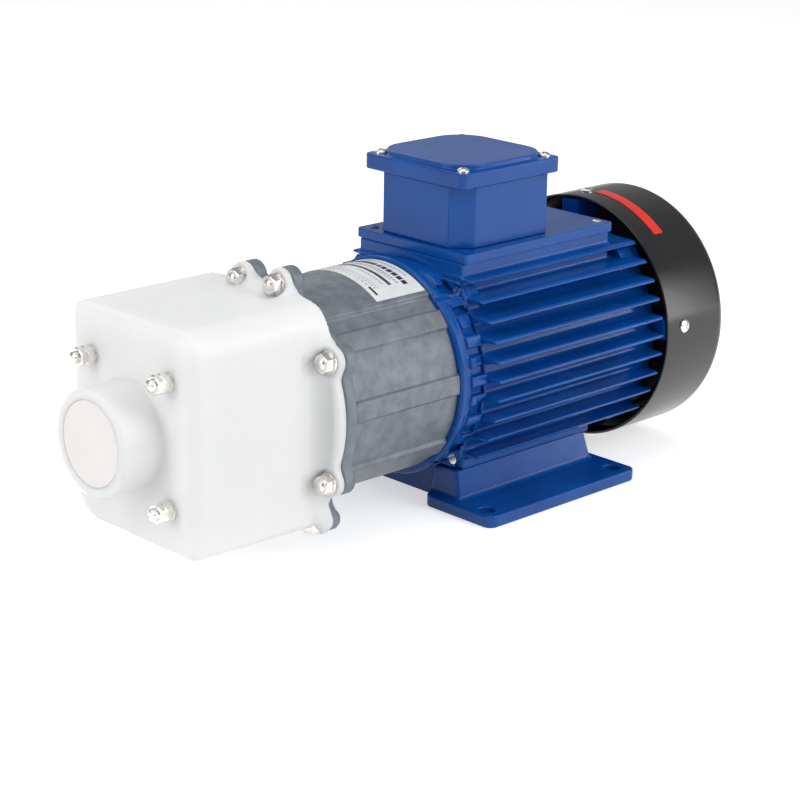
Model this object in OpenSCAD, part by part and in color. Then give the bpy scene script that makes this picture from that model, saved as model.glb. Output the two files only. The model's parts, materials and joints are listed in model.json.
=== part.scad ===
// Horizontal, close-coupled magnetic drive pump with a finned motor.
// X runs along the shaft from the suction port to the fan, Z is up, and the
// origin is the centre of the foot bolt pattern, on the feet's underside.

/* [Feet] */
// Height of the shaft axis over the floor
shaft_h = 80; // [78:0.5:90]
// Length of each foot along the shaft
foot_len = 127; // [121:1:140]
// Width over both feet
foot_span = 162; // [156:1:176]
// Thickness of the foot plates
foot_t = 7.5; // [6:0.5:12]
// Distance from a foot's outer edge to its bolt holes
foot_edge = 11; // [9:0.5:12]
// Diameter of the foot bolt holes
foot_hole_d = 10; // [8:0.5:12]

/* [Motor] */
// Distance from the foot centre forward to the front of the fins
motor_front = 50; // [48:0.5:56]
// Length of the finned frame
fins_len = 143; // [140:1:160]
// Radius of the frame's barrel between the fins
barrel_r = 62; // [61.5:0.25:64]
// Wall of the barrel
barrel_wall = 4; // [3:0.25:4.5]
// Radius of the fin tips
fin_r = 74; // [72:0.5:76]
// Thickness of a fin
fin_t = 3.6; // [2.5:0.1:4.5]
// Length of the front shield
shield_len = 19; // [19:0.5:24]
// Radius of the front shield's rim
shield_r = 64; // [63:0.5:66]
// Length of the laminated core
core_len = 80; // [60:1:84]
// Radius of the rotor core
rotor_r = 36; // [30:0.5:37]
// Number of stator slots
slot_count = 24; // [12:6:36]
// Radius of the shaft's drive end
drive_r = 9.5; // [8:0.25:9.5]

/* [Fan end] */
// Radius of the fan cover
cover_r = 76; // [75:0.25:80]
// Length of the fan cover
cover_len = 57; // [51:0.5:64]
// Sheet thickness of the fan cover
cover_wall = 1.6; // [1:0.1:2]
// Radius of the cooling fan
fan_r = 58; // [45:1:58]
// Number of fan blades
fan_blades = 7; // [5:1:11]
// Turn of the fan cover's screws about the shaft, in degrees
cover_screw_turn = 5; // [0:1:10]

/* [Terminal box] */
// Length of the lid along the shaft
lid_len = 80.8; // [76:0.2:86]
// Width of the lid
lid_w = 80.8; // [76:0.2:84]
// Thickness of the lid's rim
lid_t = 9; // [7:0.5:12]
// Height of the terminal box body
box_h = 35.4; // [32:0.5:46]
// Length of the base plate
base_len = 125; // [118:1:132]
// Reach of the base plate past each side of the box
base_side = 7.5; // [5.5:0.5:10]

/* [Bracket] */
// Length of the bracket between pump head and motor
bracket_len = 89; // [87:0.5:100]
// Radius over the bracket's raised strips
bracket_r = 62; // [61:0.25:63]
// Thickness of the bracket's front flange
bracket_flange_t = 8; // [7:0.5:9]

/* [Pump head] */
// Length of the head with its flange
head_len = 94; // [92:0.5:104]
// Width of the box
head_w = 96; // [94:0.5:98]
// Top of the box over the shaft axis
head_top = 62.6; // [60.5:0.1:63.5]
// Bottom of the box under the shaft axis
head_low = 57.5; // [56:0.1:59]
// Wall of the box
head_wall = 7; // [6:0.25:7.5]
// Radius of the flange disc
flange_r = 65; // [64.5:0.25:68]
// Thickness of the head's flange
flange_t = 5; // [5:0.25:6]
// Length of the front stub
stub_len = 26.3; // [24:0.1:36]
// Radius of the front stub
stub_r = 29; // [28:0.25:31]
// Reach of the discharge stub from the box side
outlet_len = 18; // [14:0.5:22]
// Radius of the discharge stub
outlet_r = 20; // [18:0.5:21]

/* [Magnetic coupling] */
// Length of the outer magnets
magnet_len = 30; // [24:0.5:31]
// Number of outer magnets
magnet_count = 8; // [6:2:8]
// Radius of the fixed ceramic shaft
pin_r = 6; // [5:0.25:6.5]
// Number of impeller blades
vane_count = 6; // [4:1:7]

/* [Fasteners] */
// Radius of the M6 studs and screws
stud_r = 3; // [2.5:0.1:3.2]
// Width across the flats of the nuts
nut_af = 10; // [9:0.1:11]
// Height of the nuts
nut_h = 5; // [4:0.1:6]
// Radius of the flange's washers
washer_r = 6.2; // [6:0.1:7]
// Radius of the front washers
front_washer_r = 5.2; // [5:0.1:6]

/* [Hidden] */
$fn = 72;

// Shared clearances and the overrun of every cut
over = 1;
seat_gap = 0.05;
thread_gap = 0.05;
running_gap = 0.05;
air_gap = 0.4;
quarter = 90;
full_turn = 360;
screw_count = 4;

// Stations along the shaft
fins_x0 = -motor_front;
fins_x1 = fins_x0 + fins_len;
shield_x0 = fins_x0 - shield_len;
bracket_x1 = shield_x0;
bracket_x0 = bracket_x1 - bracket_len;
head_x1 = bracket_x0;
head_x0 = head_x1 - head_len;
stub_x0 = head_x0 - stub_len;
cover_gap = 1;
cover_x0 = fins_x1 + cover_gap;
cover_x1 = cover_x0 + cover_len;

// Studs of the head's flange, in the plane across the shaft
side_stud_y = 56;
side_stud_z = 34;
near_top_stud_y = 14;
near_top_stud_z = 68.5;
far_top_stud_y = 16;
far_top_stud_z = 66;
low_stud_y = 45.5;
low_stud_z = 60;
lug_r = 8;
low_lug_r = 6;
relief_r = washer_r + 2 * thread_gap + over;
relief_len = 14;
flange_studs_at = [[-near_top_stud_y, near_top_stud_z], [far_top_stud_y, far_top_stud_z],
    for (side = [-1, 1]) each [[side * side_stud_y, side_stud_z], [side * side_stud_y, -side_stud_z],
        [side * low_stud_y, -low_stud_z]]];
front_stud_side = 15.7;
front_stud_down = 26.6;
front_stud_up = 24;
front_stud_y = head_w / 2 - front_stud_side;
front_stud_top = head_top - front_stud_down;
front_stud_low = head_low - front_stud_up;
// The far low one stands further in, clear of that corner's large radius
front_stud_shift = 4.3;
front_studs_at = [[-front_stud_y, -front_stud_low], [-front_stud_y, front_stud_top],
    [front_stud_y - front_stud_shift, -front_stud_low], [front_stud_y, front_stud_top]];
washer_t = 1.2;
stud_tail = 1.5;
front_stud_tail = 3.5;
lock_nut_h = 3.6;
stud_r_hole = stud_r + thread_gap;
nut_r = nut_af / 2 / cos(30);

// Inside of the head
cavity_r = 10;
mouth_half_y = head_w / 2 - head_wall;
mouth_gap = 3;
far_low_r = 18;
near_top_r = 15;
near_low_r = 4;
box_r = 7;
rear_wall = 7;
recess_t = 3.2;
recess_r = 60.4;
mouth_x0 = head_x1 - flange_t - rear_wall;
seat_x = head_x1 - recess_t;
port_r = 23.3;
port_depth = 20;
snout_r = 17;
snout_wall = 3;
snout_grip = 9;
outlet_setback = 42;
outlet_x = head_x1 - outlet_setback;
outlet_z = 14;
outlet_bore_r = 14;
plug_wall = 3;
plug_recess = 0.4;
plug_len = 12;

// Volute, impeller and their fixed shaft
volute_r = min(head_w / 2, head_low) - head_wall;
mouth_half_z = volute_r + mouth_gap;
volute_wall = 4;
volute_plate_t = 4;
volute_depth = 34.8;
volute_front_x = seat_x - volute_depth;
volute_plate_x = volute_front_x - volute_plate_t;
post_r = 5;
hub_r = 9;
spoke_count = 3;
spoke_w = 4;
spoke_len = 6;
thrust_t = 4;
thrust_r = 9.6;
end_float = 0.3;
pin_x0 = volute_plate_x - spoke_len;
thrust_x0 = volute_front_x;
bush_x0 = thrust_x0 + thrust_t + end_float;
impeller_gap = 3;
impeller_r = volute_r - volute_wall - impeller_gap;
impeller_hub_r = 14;
eye_r = snout_r - snout_wall;
shroud_t = 2;
vane_h = 17;
vane_t = 2.2;
vane_sweep_r = 22;
vane_inset = 0.5;
shroud_x0 = bush_x0;
vane_x0 = shroud_x0 + shroud_t;
back_x0 = vane_x0 + vane_h;
back_t = 4;
can_x0 = back_x0 + back_t;
can_step = 4.5;
can_r = impeller_r - can_step;
can_wall = 2.5;
inner_magnet_t = 6;
inner_magnet_len = 24;
bush_r = 9.5;
bush_wall_r = pin_r + running_gap;

// Containment shell and outer magnets
shell_wall = 2.5;
shell_clearance = 1.5;
shell_r = can_r + shell_clearance + shell_wall;
shell_end_t = 4;
boss_r = 10;
boss_len = 10;
shell_reach = 43;
shell_x1 = head_x1 + shell_reach;
boss_x0 = shell_x1 - shell_end_t - boss_len;
pin_x1 = shell_x1 - shell_end_t - thread_gap;
rear_thrust_t = 2;
bush_x1 = boss_x0 - rear_thrust_t - 2 * end_float;
can_x1 = bush_x1;
inner_magnet_x1 = can_x1 - can_wall;
ring_section_r = 1.1;
ring_r = 58.2;
groove_depth = 2.2;
magnet_share = 8 / 9;
magnet_r0 = shell_r + shell_clearance;
magnet_t = 4;
carrier_wall = 4;
carrier_end_gap = 3;
carrier_disc_t = 6;
carrier_hub_r = 16;
carrier_hub_len = 30;
carrier_x0 = shell_x1 + carrier_end_gap;
carrier_cup_len = 44.5;
carrier_r = magnet_r0 + magnet_t + seat_gap + carrier_wall;
magnet_setback = 0.5;
set_screw_r = 2.5;
set_screw_inset = 7;
set_screw_turn = 120;

// Bracket
bracket_wall = 6;
strip_h = 2;
bracket_base_r = bracket_r - strip_h;
bracket_bore_r = bracket_r - strip_h - bracket_wall;
clamp_gap = 1.95;
clamp_bore_r = carrier_r + clamp_gap;
bracket_foot_t = 8;
bracket_foot_bore_r = 42;
bracket_screw_at_r = 48.4;
screw_turn = 45;
shield_boss_r = 7;
stud_boss_r = 6;
low_boss_r = 5;
stud_boss_len = 1.5;
strip_angles = [51, 87, 127, 180, 233, 273, 309];
strip_spread = 11;
label_margin = 3;
label_t = 0.5;
label_inset = 2;
label_len = 37;
label_angle = 66;
head_screw_r = 5;
head_screw_h = 6;
screw_depth = 12;

// Motor shaft and bearings
seat_r = 10;
core_shaft_r = 12.5;
fan_seat_r = 8.5;
race_len = 14;
race_gap = 0.01;
front_race_inset = 5;
rear_race_inset = 23;
race_r = 23.5;
inner_race_r = 14.2;
outer_race_bore_r = 19.3;
ball_ring_r = 16.75;
ball_r = 3.9;
groove_r = 4;
ball_count = 8;
front_race_x0 = shield_x0 + front_race_inset;
front_race_x1 = front_race_x0 + race_len;
drive_inset = 2;
drive_x0 = carrier_x0 + drive_inset;
core_inset = 18;
core_x0 = fins_x0 + core_inset;
core_x1 = core_x0 + core_len;
rear_race_x0 = fins_x1 - rear_race_inset;
rear_race_x1 = rear_race_x0 + race_len;
key_w = 6;
key_len = 20;
key_depth = 3.5;
key_rise = 2.5;
key_inset = 5;
key_x0 = drive_x0 + key_inset;
slot_w = 4;
slot_lip = 2;
slot_r0 = rotor_r + air_gap + slot_lip;
slot_r1 = 51;
winding_gap = 0.2;
winding_len = 12;
end_ring_len = 10;
end_ring_wall = 12;
core_fit_r = barrel_r - barrel_wall - seat_gap;

// Shields
hub_wall = 4;
web_t = 6;
spigot_t = 4;
spigot_len = 4;
lip_t = 2;
lip_bore_r = 10.8;
lug_top_z = 55.4;
lug_top_y = 41.7;
lug_side_y = 47.9;
lug_side_z = 47.2;
lug_drop = 5;
shield_screw_y = 41;
shield_screw_z = 50;
shield_ear_t = 3;
frame_lug_len = 9;
rear_lug_len = 12;
shield_screw_r = 2;
shield_screw_head_r = 3;
shield_screw_head_h = 2.2;
shield_screw_tip = 8;
rear_flange_t = 4;
rear_spigot_len = 6;
washer_gap_t = 1.5;
cover_boss_half = 6;
cover_boss_root = 2;
cover_boss_r = cover_r - cover_wall - seat_gap;
cover_boss_len = 21;
cover_screw_inset = 15.3;
cover_screw_x = cover_x0 + cover_screw_inset;
cover_screw_r = 2;
cover_screw_head_r = 4;
cover_screw_head_h = 1.8;
cover_screw_depth = 10;
notch_w = 9;
notch_depth = 3;
notch_count = 16;
notch_len = 7;

// Frame pads
fin_height_shares = [0.757, 0.622, 0.482, 0.339, 0.188, 0.041, -0.112, -0.282, -0.449, -0.622];
top_pad_z = 65;
foot_front_edge = 8;
foot_rear_edge = 11;
foot_pitch_x = foot_len - foot_front_edge - foot_rear_edge;
foot_pitch_y = foot_span - 2 * foot_edge;
foot_x0 = -foot_pitch_x / 2 - foot_front_edge;
foot_x1 = foot_x0 + foot_len;
foot_pad_drop = 56;
foot_pad_z = -foot_pad_drop;
foot_pad_y0 = 28;
foot_pad_y1 = 47;
foot_inner_y = 26.5;
riser_step = 5.7;
riser_slope = 2.3;
riser_rear_step = 7.2;
riser_y0 = 50.6;
riser_y1 = 46.2;
pad_margin = 5.5;
foot_pad_x1 = foot_x1 - riser_rear_step - riser_slope - pad_margin;
foot_corner_r = 6;
foot_screw_inset = 18;
foot_screw_x = foot_pitch_x / 2 - foot_screw_inset;
foot_screw_y = 38;
foot_web_t = 6;
foot_web_z0 = 2.5;
foot_screw_head_z0 = 1;
foot_screw_depth = 9;

// Fan
fan_gap = 12;
fan_x0 = cover_x0 + fan_gap;
fan_hub_r = 14;
fan_hub_len = 24;
fan_disc_t = 2.5;
fan_blade_h = 20;
fan_blade_t = 2.2;
fan_disc_inset = 8;
fan_disc_x0 = fan_x0 + fan_disc_inset;
circlip_t = 1;
circlip_r = 10.5;
circlip_depth = 0.6;
shaft_tail = 2;
shaft_x1 = fan_x0 + fan_hub_len + circlip_t + shaft_tail;
cover_bend_r = 9;
grille_inner_r = 12;
grille_outer_r = 60;
grille_rings = 6;
grille_share = 0.62;
grille_ribs = 4;
grille_rib_w = 4;
stripe_t = 0.3;
stripe_len = 8;
stripe_inset = 15;
stripe_x0 = cover_x0 + stripe_inset;
stripe_angle = 40;

// Terminal box
base_z0 = top_pad_z;
base_t = 5.7;
base_z1 = base_z0 + base_t;
base_x0 = fins_x0;
base_x1 = base_x0 + base_len;
lid_inset = 0.7;
lid_x0 = fins_x0 + lid_inset;
lid_x1 = lid_x0 + lid_len;
box_inset = 3.2;
box_wall = 3;
box_floor_t = 3;
box_chamfer = 10.6;
box_x0 = lid_x0 + box_inset;
box_x1 = lid_x1 - box_inset;
box_half = lid_w / 2 - box_inset;
base_w = 2 * (box_half + base_side);
gasket_t = 0.5;
box_z1 = base_z1 + box_h;
lid_z0 = box_z1 + gasket_t;
lid_z1 = lid_z0 + lid_t;
lid_skin = 4;
panel_h = 3;
panel_inset = 4;
panel_notch_r = 6.5;
lid_corner_r = 4;
lid_screw_inset = 7;
lid_screw_r = 2;
lid_screw_head_r = 3.6;
lid_screw_head_h = 2.4;
lid_screw_depth = 3;
lid_boss_r = 4.5;
lid_boss_len = 4;
wire_hole_r = 9;
base_screw_inset = 6;
base_screw_step = 0.2;
base_screw_y = box_half - base_screw_step;
top_pad_edge = 5;
top_pad_half = base_screw_y + top_pad_edge;
base_screw_depth = 9;
base_screw_head_r = 2.6;
base_screw_head_h = 1;
block_len = 40;
block_w = 30;
block_h = 10;
post_pitch_x = 13;
post_pitch_y = 16;
terminal_post_r = 2;
terminal_post_h = 9;
entry_r = 10;
entry_head_r = 12.5;
entry_head_t = 4;
entry_rise = 18;
entry_z = base_z1 + entry_rise;
lid_screws_at = [for (x = [lid_x0 + lid_screw_inset, lid_x1 - lid_screw_inset], side = [-1, 1])
    [x, side * (lid_w / 2 - lid_screw_inset)]];
base_screws_at = [for (x = [base_x0 + base_screw_inset + over, base_x1 - base_screw_inset], side = [-1, 1])
    [x, side * base_screw_y]];
box_mid_x = (box_x0 + box_x1) / 2;

// Shared shapes, all placed about the shaft axis
module on_axis() translate([0, 0, shaft_h]) children();

module rod(r, from, to) translate([from, 0, 0]) rotate([0, quarter, 0]) cylinder(r = r, h = to - from);

module tube(r_out, r_in, from, to) difference() {
    rod(r_out, from, to);
    rod(r_in, from - over, to + over);
}

module slab(low, high) translate(low) cube(high - low);

module along_x(from, to)
    translate([from, 0, 0]) rotate([quarter, 0, quarter]) linear_extrude(height = to - from) children();

module at_each(places) for (place = places) translate([0, place[0], place[1]]) children();

module around(count, start = 0) for (i = [0:count - 1]) rotate([start + i * full_turn / count, 0, 0]) children();

// A ring sector about the shaft: start and sweep are degrees from straight up towards +Y
module sector(r_out, r_in, from, to, start, sweep)
    translate([from, 0, 0]) rotate([0, quarter, 0])
    rotate([0, 0, 2 * quarter - start - sweep]) rotate_extrude(angle = sweep)
    translate([r_in, 0]) square([r_out - r_in, to - from]);

module corner_cut(r) difference() {
    translate([-over, -over]) square(r + over);
    translate([r, r]) circle(r = r);
}

// A rectangle with its own radius at each corner: low left, low right, high right, high left
module soft_rect(low, high, radii) difference() {
    translate(low) square(high - low);
    translate(low) corner_cut(radii[0]);
    translate([high[0], low[1]]) mirror([1, 0]) corner_cut(radii[1]);
    translate(high) mirror([1, 0]) mirror([0, 1]) corner_cut(radii[2]);
    translate([low[0], high[1]]) mirror([0, 1]) corner_cut(radii[3]);
}

module stud(from, to) rod(stud_r, from, to);

module hex_nut(from, to) difference() {
    translate([from, 0, 0]) rotate([0, quarter, 0]) cylinder(r = nut_r, h = to - from, $fn = 6);
    rod(stud_r_hole, from - over, to + over);
}

module cap_screw(r, head_r, head_from, head_to, tip) {
    rod(head_r, min(head_from, head_to), max(head_from, head_to));
    rod(r, min(head_to, tip), max(head_to, tip));
}

// The flange's lugs, which are narrower at the bottom
function at_bottom(place) = place[1] <= -low_stud_z;

module lug_outline() for (place = flange_studs_at) {
    r = at_bottom(place) ? low_lug_r : lug_r;
    reach = norm(place);
    translate(place) circle(r = r);
    rotate(atan2(place[1], place[0])) translate([0, -r]) square([reach, 2 * r]);
}

// Wet end
module casing() color("whitesmoke") on_axis() difference() {
    union() {
        along_x(head_x0, head_x1)
            soft_rect([-head_w / 2, -head_low], [head_w / 2, head_top], [near_low_r, far_low_r, box_r, near_top_r]);
        along_x(head_x1 - flange_t, head_x1) {
            circle(r = flange_r);
            lug_outline();
        }
        rod(stub_r, stub_x0, head_x0 + over);
        translate([outlet_x, 0, outlet_z]) rotate([-quarter, 0, 0])
            cylinder(r = outlet_r, h = head_w / 2 + outlet_len);
    }
    along_x(head_x0 + head_wall, mouth_x0)
        soft_rect([-mouth_half_y, head_wall - head_low], [mouth_half_y, head_top - head_wall],
            [cavity_r, cavity_r, cavity_r, cavity_r]);
    along_x(mouth_x0 - over, head_x1 + over)
        soft_rect([-mouth_half_y, -mouth_half_z], [mouth_half_y, mouth_half_z],
            [cavity_r, cavity_r, cavity_r, cavity_r]);
    rod(recess_r, seat_x, head_x1 + over);
    rod(port_r, stub_x0 - over, stub_x0 + port_depth);
    rod(snout_r + seat_gap, stub_x0 + port_depth - over, head_x0 + head_wall + over);
    translate([outlet_x, 0, outlet_z]) rotate([-quarter, 0, 0])
        cylinder(r = outlet_bore_r, h = head_w / 2 + outlet_len + over);
    at_each(flange_studs_at) rod(stud_r_hole, head_x1 - flange_t - over, head_x1 + over);
    at_each(flange_studs_at) rod(relief_r, head_x1 - flange_t - relief_len, head_x1 - flange_t);
    at_each(front_studs_at) rod(stud_r_hole, head_x0 - over, head_x0 + head_wall + over);
}

module plug_cup(r, length) difference() {
    cylinder(r = r, h = length);
    translate([0, 0, plug_wall]) cylinder(r = r - plug_wall, h = length);
}

module suction_plug() color("mistyrose") on_axis()
    translate([stub_x0 + plug_recess, 0, 0]) rotate([0, quarter, 0]) plug_cup(port_r - seat_gap, plug_len);

module discharge_plug() color("mistyrose") on_axis()
    translate([outlet_x, head_w / 2 + outlet_len - plug_recess, outlet_z]) rotate([quarter, 0, 0])
    plug_cup(outlet_bore_r - seat_gap, plug_len);

module front_studs() color("silver") on_axis() at_each(front_studs_at)
    stud(head_x0 - washer_t - nut_h - lock_nut_h - front_stud_tail, volute_plate_x + volute_plate_t / 2);

// A nut and a thin lock nut on each front stud
module front_nuts() color("silver") on_axis() at_each(front_studs_at) {
    hex_nut(head_x0 - washer_t - nut_h, head_x0 - washer_t);
    hex_nut(head_x0 - washer_t - nut_h - lock_nut_h, head_x0 - washer_t - nut_h);
}

module front_washers() color("gainsboro") on_axis() at_each(front_studs_at)
    tube(front_washer_r, stud_r_hole, head_x0 - washer_t, head_x0);

module flange_studs() color("silver") on_axis() at_each(flange_studs_at)
    stud(head_x1 - flange_t - washer_t - nut_h - stud_tail,
        bracket_x0 + bracket_flange_t + stud_boss_len - over);

module flange_nuts() color("silver") on_axis() at_each(flange_studs_at)
    hex_nut(head_x1 - flange_t - washer_t - nut_h, head_x1 - flange_t - washer_t);

module flange_washers() color("gainsboro") on_axis() at_each(flange_studs_at)
    tube(washer_r, stud_r_hole, head_x1 - flange_t - washer_t, head_x1 - flange_t);

module volute() color("ivory") on_axis() difference() {
    union() {
        rod(volute_r, volute_plate_x, seat_x);
        slab([volute_plate_x, -front_stud_y - post_r, -front_stud_low - post_r],
            [volute_front_x, front_stud_y + post_r, front_stud_top + post_r]);
        at_each(front_studs_at) rod(post_r, head_x0 + head_wall, volute_front_x);
        rod(snout_r, head_x0 + head_wall - snout_grip, volute_front_x);
    }
    rod(volute_r - volute_wall, volute_front_x, seat_x + over);
    difference() {
        rod(eye_r, head_x0 + head_wall - snout_grip - over, volute_front_x + over);
        rod(hub_r, pin_x0, volute_front_x + over);
        around(spoke_count)
            slab([pin_x0, -spoke_w / 2, 0], [volute_front_x, spoke_w / 2, eye_r + over]);
    }
    rod(pin_r + seat_gap, pin_x0 + over, volute_front_x + over);
    at_each(front_studs_at) rod(stud_r_hole, head_x0, volute_plate_x + volute_plate_t / 2);
    slab([volute_front_x + volute_wall, -eye_r, 0], [seat_x - volute_wall, eye_r, volute_r + over]);
}

module vane() intersection() {
    translate([vane_x0, -vane_sweep_r / 2, vane_sweep_r])
        tube(vane_sweep_r + vane_t, vane_sweep_r, 0, vane_h);
    slab([vane_x0, 0, 0], [vane_x0 + vane_h, impeller_r, impeller_r]);
    rod(impeller_r - vane_inset, vane_x0, vane_x0 + vane_h);
}

module impeller() color("wheat") on_axis() difference() {
    union() {
        tube(impeller_r, eye_r, shroud_x0, vane_x0);
        rod(impeller_r, back_x0, can_x0);
        rod(impeller_hub_r - shroud_t, vane_x0, back_x0);
        around(vane_count) vane();
    }
    rod(bush_r, shroud_x0 - over, can_x0 + over);
}

module inner_magnet_can() color("wheat") on_axis() difference() {
    tube(can_r, bush_r, can_x0, can_x1);
    tube(can_r - can_wall + seat_gap, can_r - can_wall - inner_magnet_t - seat_gap,
        inner_magnet_x1 - inner_magnet_len - seat_gap, inner_magnet_x1 + seat_gap);
}

module inner_magnets() color("dimgray") on_axis()
    tube(can_r - can_wall, can_r - can_wall - inner_magnet_t,
        inner_magnet_x1 - inner_magnet_len, inner_magnet_x1);

module impeller_bush() color("darkslategray") on_axis() tube(bush_r, bush_wall_r, bush_x0, bush_x1);

module thrust_rings() color("lightgray") on_axis() {
    tube(thrust_r, pin_r + seat_gap, thrust_x0, thrust_x0 + thrust_t);
    tube(thrust_r, pin_r + seat_gap, boss_x0 - rear_thrust_t - end_float, boss_x0 - end_float);
}

module pump_shaft() color("ivory") on_axis() rod(pin_r, pin_x0 + over, pin_x1);

module containment_shell() color("darkgray") on_axis() difference() {
    union() {
        rod(recess_r - seat_gap, seat_x, head_x1);
        rod(shell_r, head_x1 - over, shell_x1);
    }
    difference() {
        rod(shell_r - shell_wall, seat_x - over, shell_x1 - shell_end_t);
        rod(boss_r, boss_x0, shell_x1);
    }
    rod(pin_r + seat_gap, boss_x0 - over, shell_x1 - shell_end_t);
    tube(ring_r + ring_section_r, ring_r - ring_section_r, seat_x - over, seat_x + groove_depth);
}

module casing_o_ring() color("black") on_axis()
    translate([seat_x + ring_section_r, 0, 0]) rotate([0, quarter, 0])
    rotate_extrude() translate([ring_r, 0]) circle(r = ring_section_r);

// Bracket and drive side of the coupling
// A raised strip's outline, its middle at an angle from straight up towards +Y
module strip_outline(middle, spread) rotate(-middle) intersection() {
    circle(r = bracket_r);
    polygon([[0, 0], [-bracket_r * tan(spread / 2), bracket_r], [bracket_r * tan(spread / 2), bracket_r]]);
}

module bracket() color("slategray") on_axis() difference() {
    union() {
        along_x(bracket_x0 + over, bracket_x1) {
            circle(r = bracket_base_r);
            for (turn = strip_angles) strip_outline(turn, strip_spread);
            strip_outline(0, label_angle + 2 * label_margin);
        }
        along_x(bracket_x0, bracket_x0 + bracket_flange_t) {
            circle(r = flange_r);
            lug_outline();
        }
        for (place = flange_studs_at) at_each([place]) rod(at_bottom(place) ? low_boss_r : stud_boss_r,
            bracket_x0 + over, bracket_x0 + bracket_flange_t + stud_boss_len);
    }
    rod(bracket_bore_r, bracket_x0 + bracket_flange_t, bracket_x1 - bracket_foot_t);
    rod(clamp_bore_r, bracket_x0 - over, bracket_x0 + bracket_flange_t + over);
    rod(bracket_foot_bore_r, bracket_x1 - bracket_foot_t - over, bracket_x1 + over);
    at_each(flange_studs_at)
        rod(stud_r_hole, bracket_x0 - over, bracket_x0 + bracket_flange_t + stud_boss_len - over);
    around(screw_count, screw_turn) translate([0, 0, bracket_screw_at_r])
        rod(stud_r_hole, bracket_x1 - bracket_foot_t - over, bracket_x1 + over);
}

module label_plate() color("lightgray") on_axis()
    sector(bracket_r + label_t, bracket_r + seat_gap, bracket_x1 - label_inset - label_len, bracket_x1 - label_inset,
        -label_angle / 2, label_angle);

module bracket_screws() color("dimgray") on_axis() around(screw_count, screw_turn)
    translate([0, 0, bracket_screw_at_r]) cap_screw(stud_r, head_screw_r, bracket_x1 - bracket_foot_t - head_screw_h,
        bracket_x1 - bracket_foot_t, bracket_x1 + screw_depth - over);

module magnet_carrier() color("gray") on_axis() difference() {
    union() {
        rod(carrier_r, carrier_x0 - carrier_cup_len, carrier_x0 + carrier_disc_t);
        rod(carrier_hub_r, carrier_x0, carrier_x0 + carrier_hub_len);
    }
    rod(carrier_r - carrier_wall, carrier_x0 - carrier_cup_len - over, carrier_x0);
    rod(drive_r + seat_gap, carrier_x0 - over, carrier_x0 + carrier_hub_len + over);
    slab([carrier_x0 - over, -key_w / 2 - seat_gap, 0],
        [carrier_x0 + carrier_hub_len + over, key_w / 2 + seat_gap, drive_r + key_rise + seat_gap]);
    for (turn = [1, 2]) rotate([turn * set_screw_turn, 0, 0])
        translate([carrier_x0 + carrier_hub_len - set_screw_inset, 0, 0])
        cylinder(r = set_screw_r + thread_gap, h = carrier_hub_r + over);
}

module outer_magnets() color("dimgray") on_axis() for (i = [0:magnet_count - 1])
    sector(magnet_r0 + magnet_t, magnet_r0, carrier_x0 - carrier_cup_len + magnet_setback,
        carrier_x0 - carrier_cup_len + magnet_setback + magnet_len,
        i * full_turn / magnet_count, magnet_share * full_turn / magnet_count);

module carrier_set_screws() color("black") on_axis() for (turn = [1, 2]) rotate([turn * set_screw_turn, 0, 0])
    translate([carrier_x0 + carrier_hub_len - set_screw_inset, 0, drive_r + seat_gap])
    cylinder(r = set_screw_r, h = carrier_hub_r - drive_r - 2 * seat_gap);

// Motor shell
module at_corners() for (side = [0, 1], level = [0, 1]) mirror([0, side, 0]) mirror([0, 0, level]) children();

module shield_screw_places() at_corners() translate([0, shield_screw_y, shield_screw_z]) children();

// One of the four lugs that the shields are screwed to
module corner_lug(from, to) at_corners() along_x(from, to)
    polygon([[0, lug_top_z], [lug_top_y, lug_top_z], [lug_side_y, lug_side_z], [lug_side_y - lug_drop, 0], [0, 0]]);

module front_shield() color("royalblue") on_axis() difference() {
    union() {
        tube(shield_r, shield_r - web_t - hub_wall, shield_x0, fins_x0);
        tube(barrel_r, race_r, shield_x0 + lip_t, shield_x0 + lip_t + web_t);
        tube(barrel_r, bracket_foot_bore_r, shield_x0, shield_x0 + lip_t + web_t);
        rod(race_r + hub_wall, shield_x0 + lip_t, fins_x0 + spigot_len);
        tube(barrel_r - barrel_wall - seat_gap, barrel_r - barrel_wall - spigot_t, fins_x0 - over,
            fins_x0 + spigot_len);
        difference() {
            corner_lug(fins_x0 - shield_ear_t, fins_x0);
            rod(shield_r - over, fins_x0 - shield_ear_t - over, fins_x0 + over);
        }
        around(screw_count, screw_turn) translate([0, 0, bracket_screw_at_r])
            rod(shield_boss_r, shield_x0, shield_x0 + screw_depth + lip_t);
    }
    rod(race_r + race_gap, front_race_x0, fins_x0 + spigot_len + over);
    rod(lip_bore_r, shield_x0 - over, fins_x0);
    shield_screw_places() {
        rod(shield_screw_r + thread_gap, fins_x0 - shield_ear_t - over, fins_x0 + over);
        rod(shield_screw_head_r + seat_gap, shield_x0 - over, fins_x0 - shield_ear_t + shield_screw_head_h);
    }
    around(screw_count, screw_turn) translate([0, 0, bracket_screw_at_r])
        rod(stud_r_hole, shield_x0 - over, shield_x0 + screw_depth);
    around(notch_count, quarter * 2 / notch_count)
        slab([fins_x0 - notch_len, -notch_w / 2, shield_r - notch_depth],
            [fins_x0 + over, notch_w / 2, shield_r + over]);
}

module front_shield_screws() color("silver") on_axis() shield_screw_places()
    cap_screw(shield_screw_r, shield_screw_head_r, fins_x0 - shield_ear_t,
        fins_x0 - shield_ear_t + shield_screw_head_h, fins_x0 + shield_screw_tip - over);

module fin_outline() intersection() {
    circle(r = fin_r);
    for (share = fin_height_shares) translate([-fin_r, share * fin_r - fin_t / 2]) square([2 * fin_r, fin_t]);
}

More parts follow.
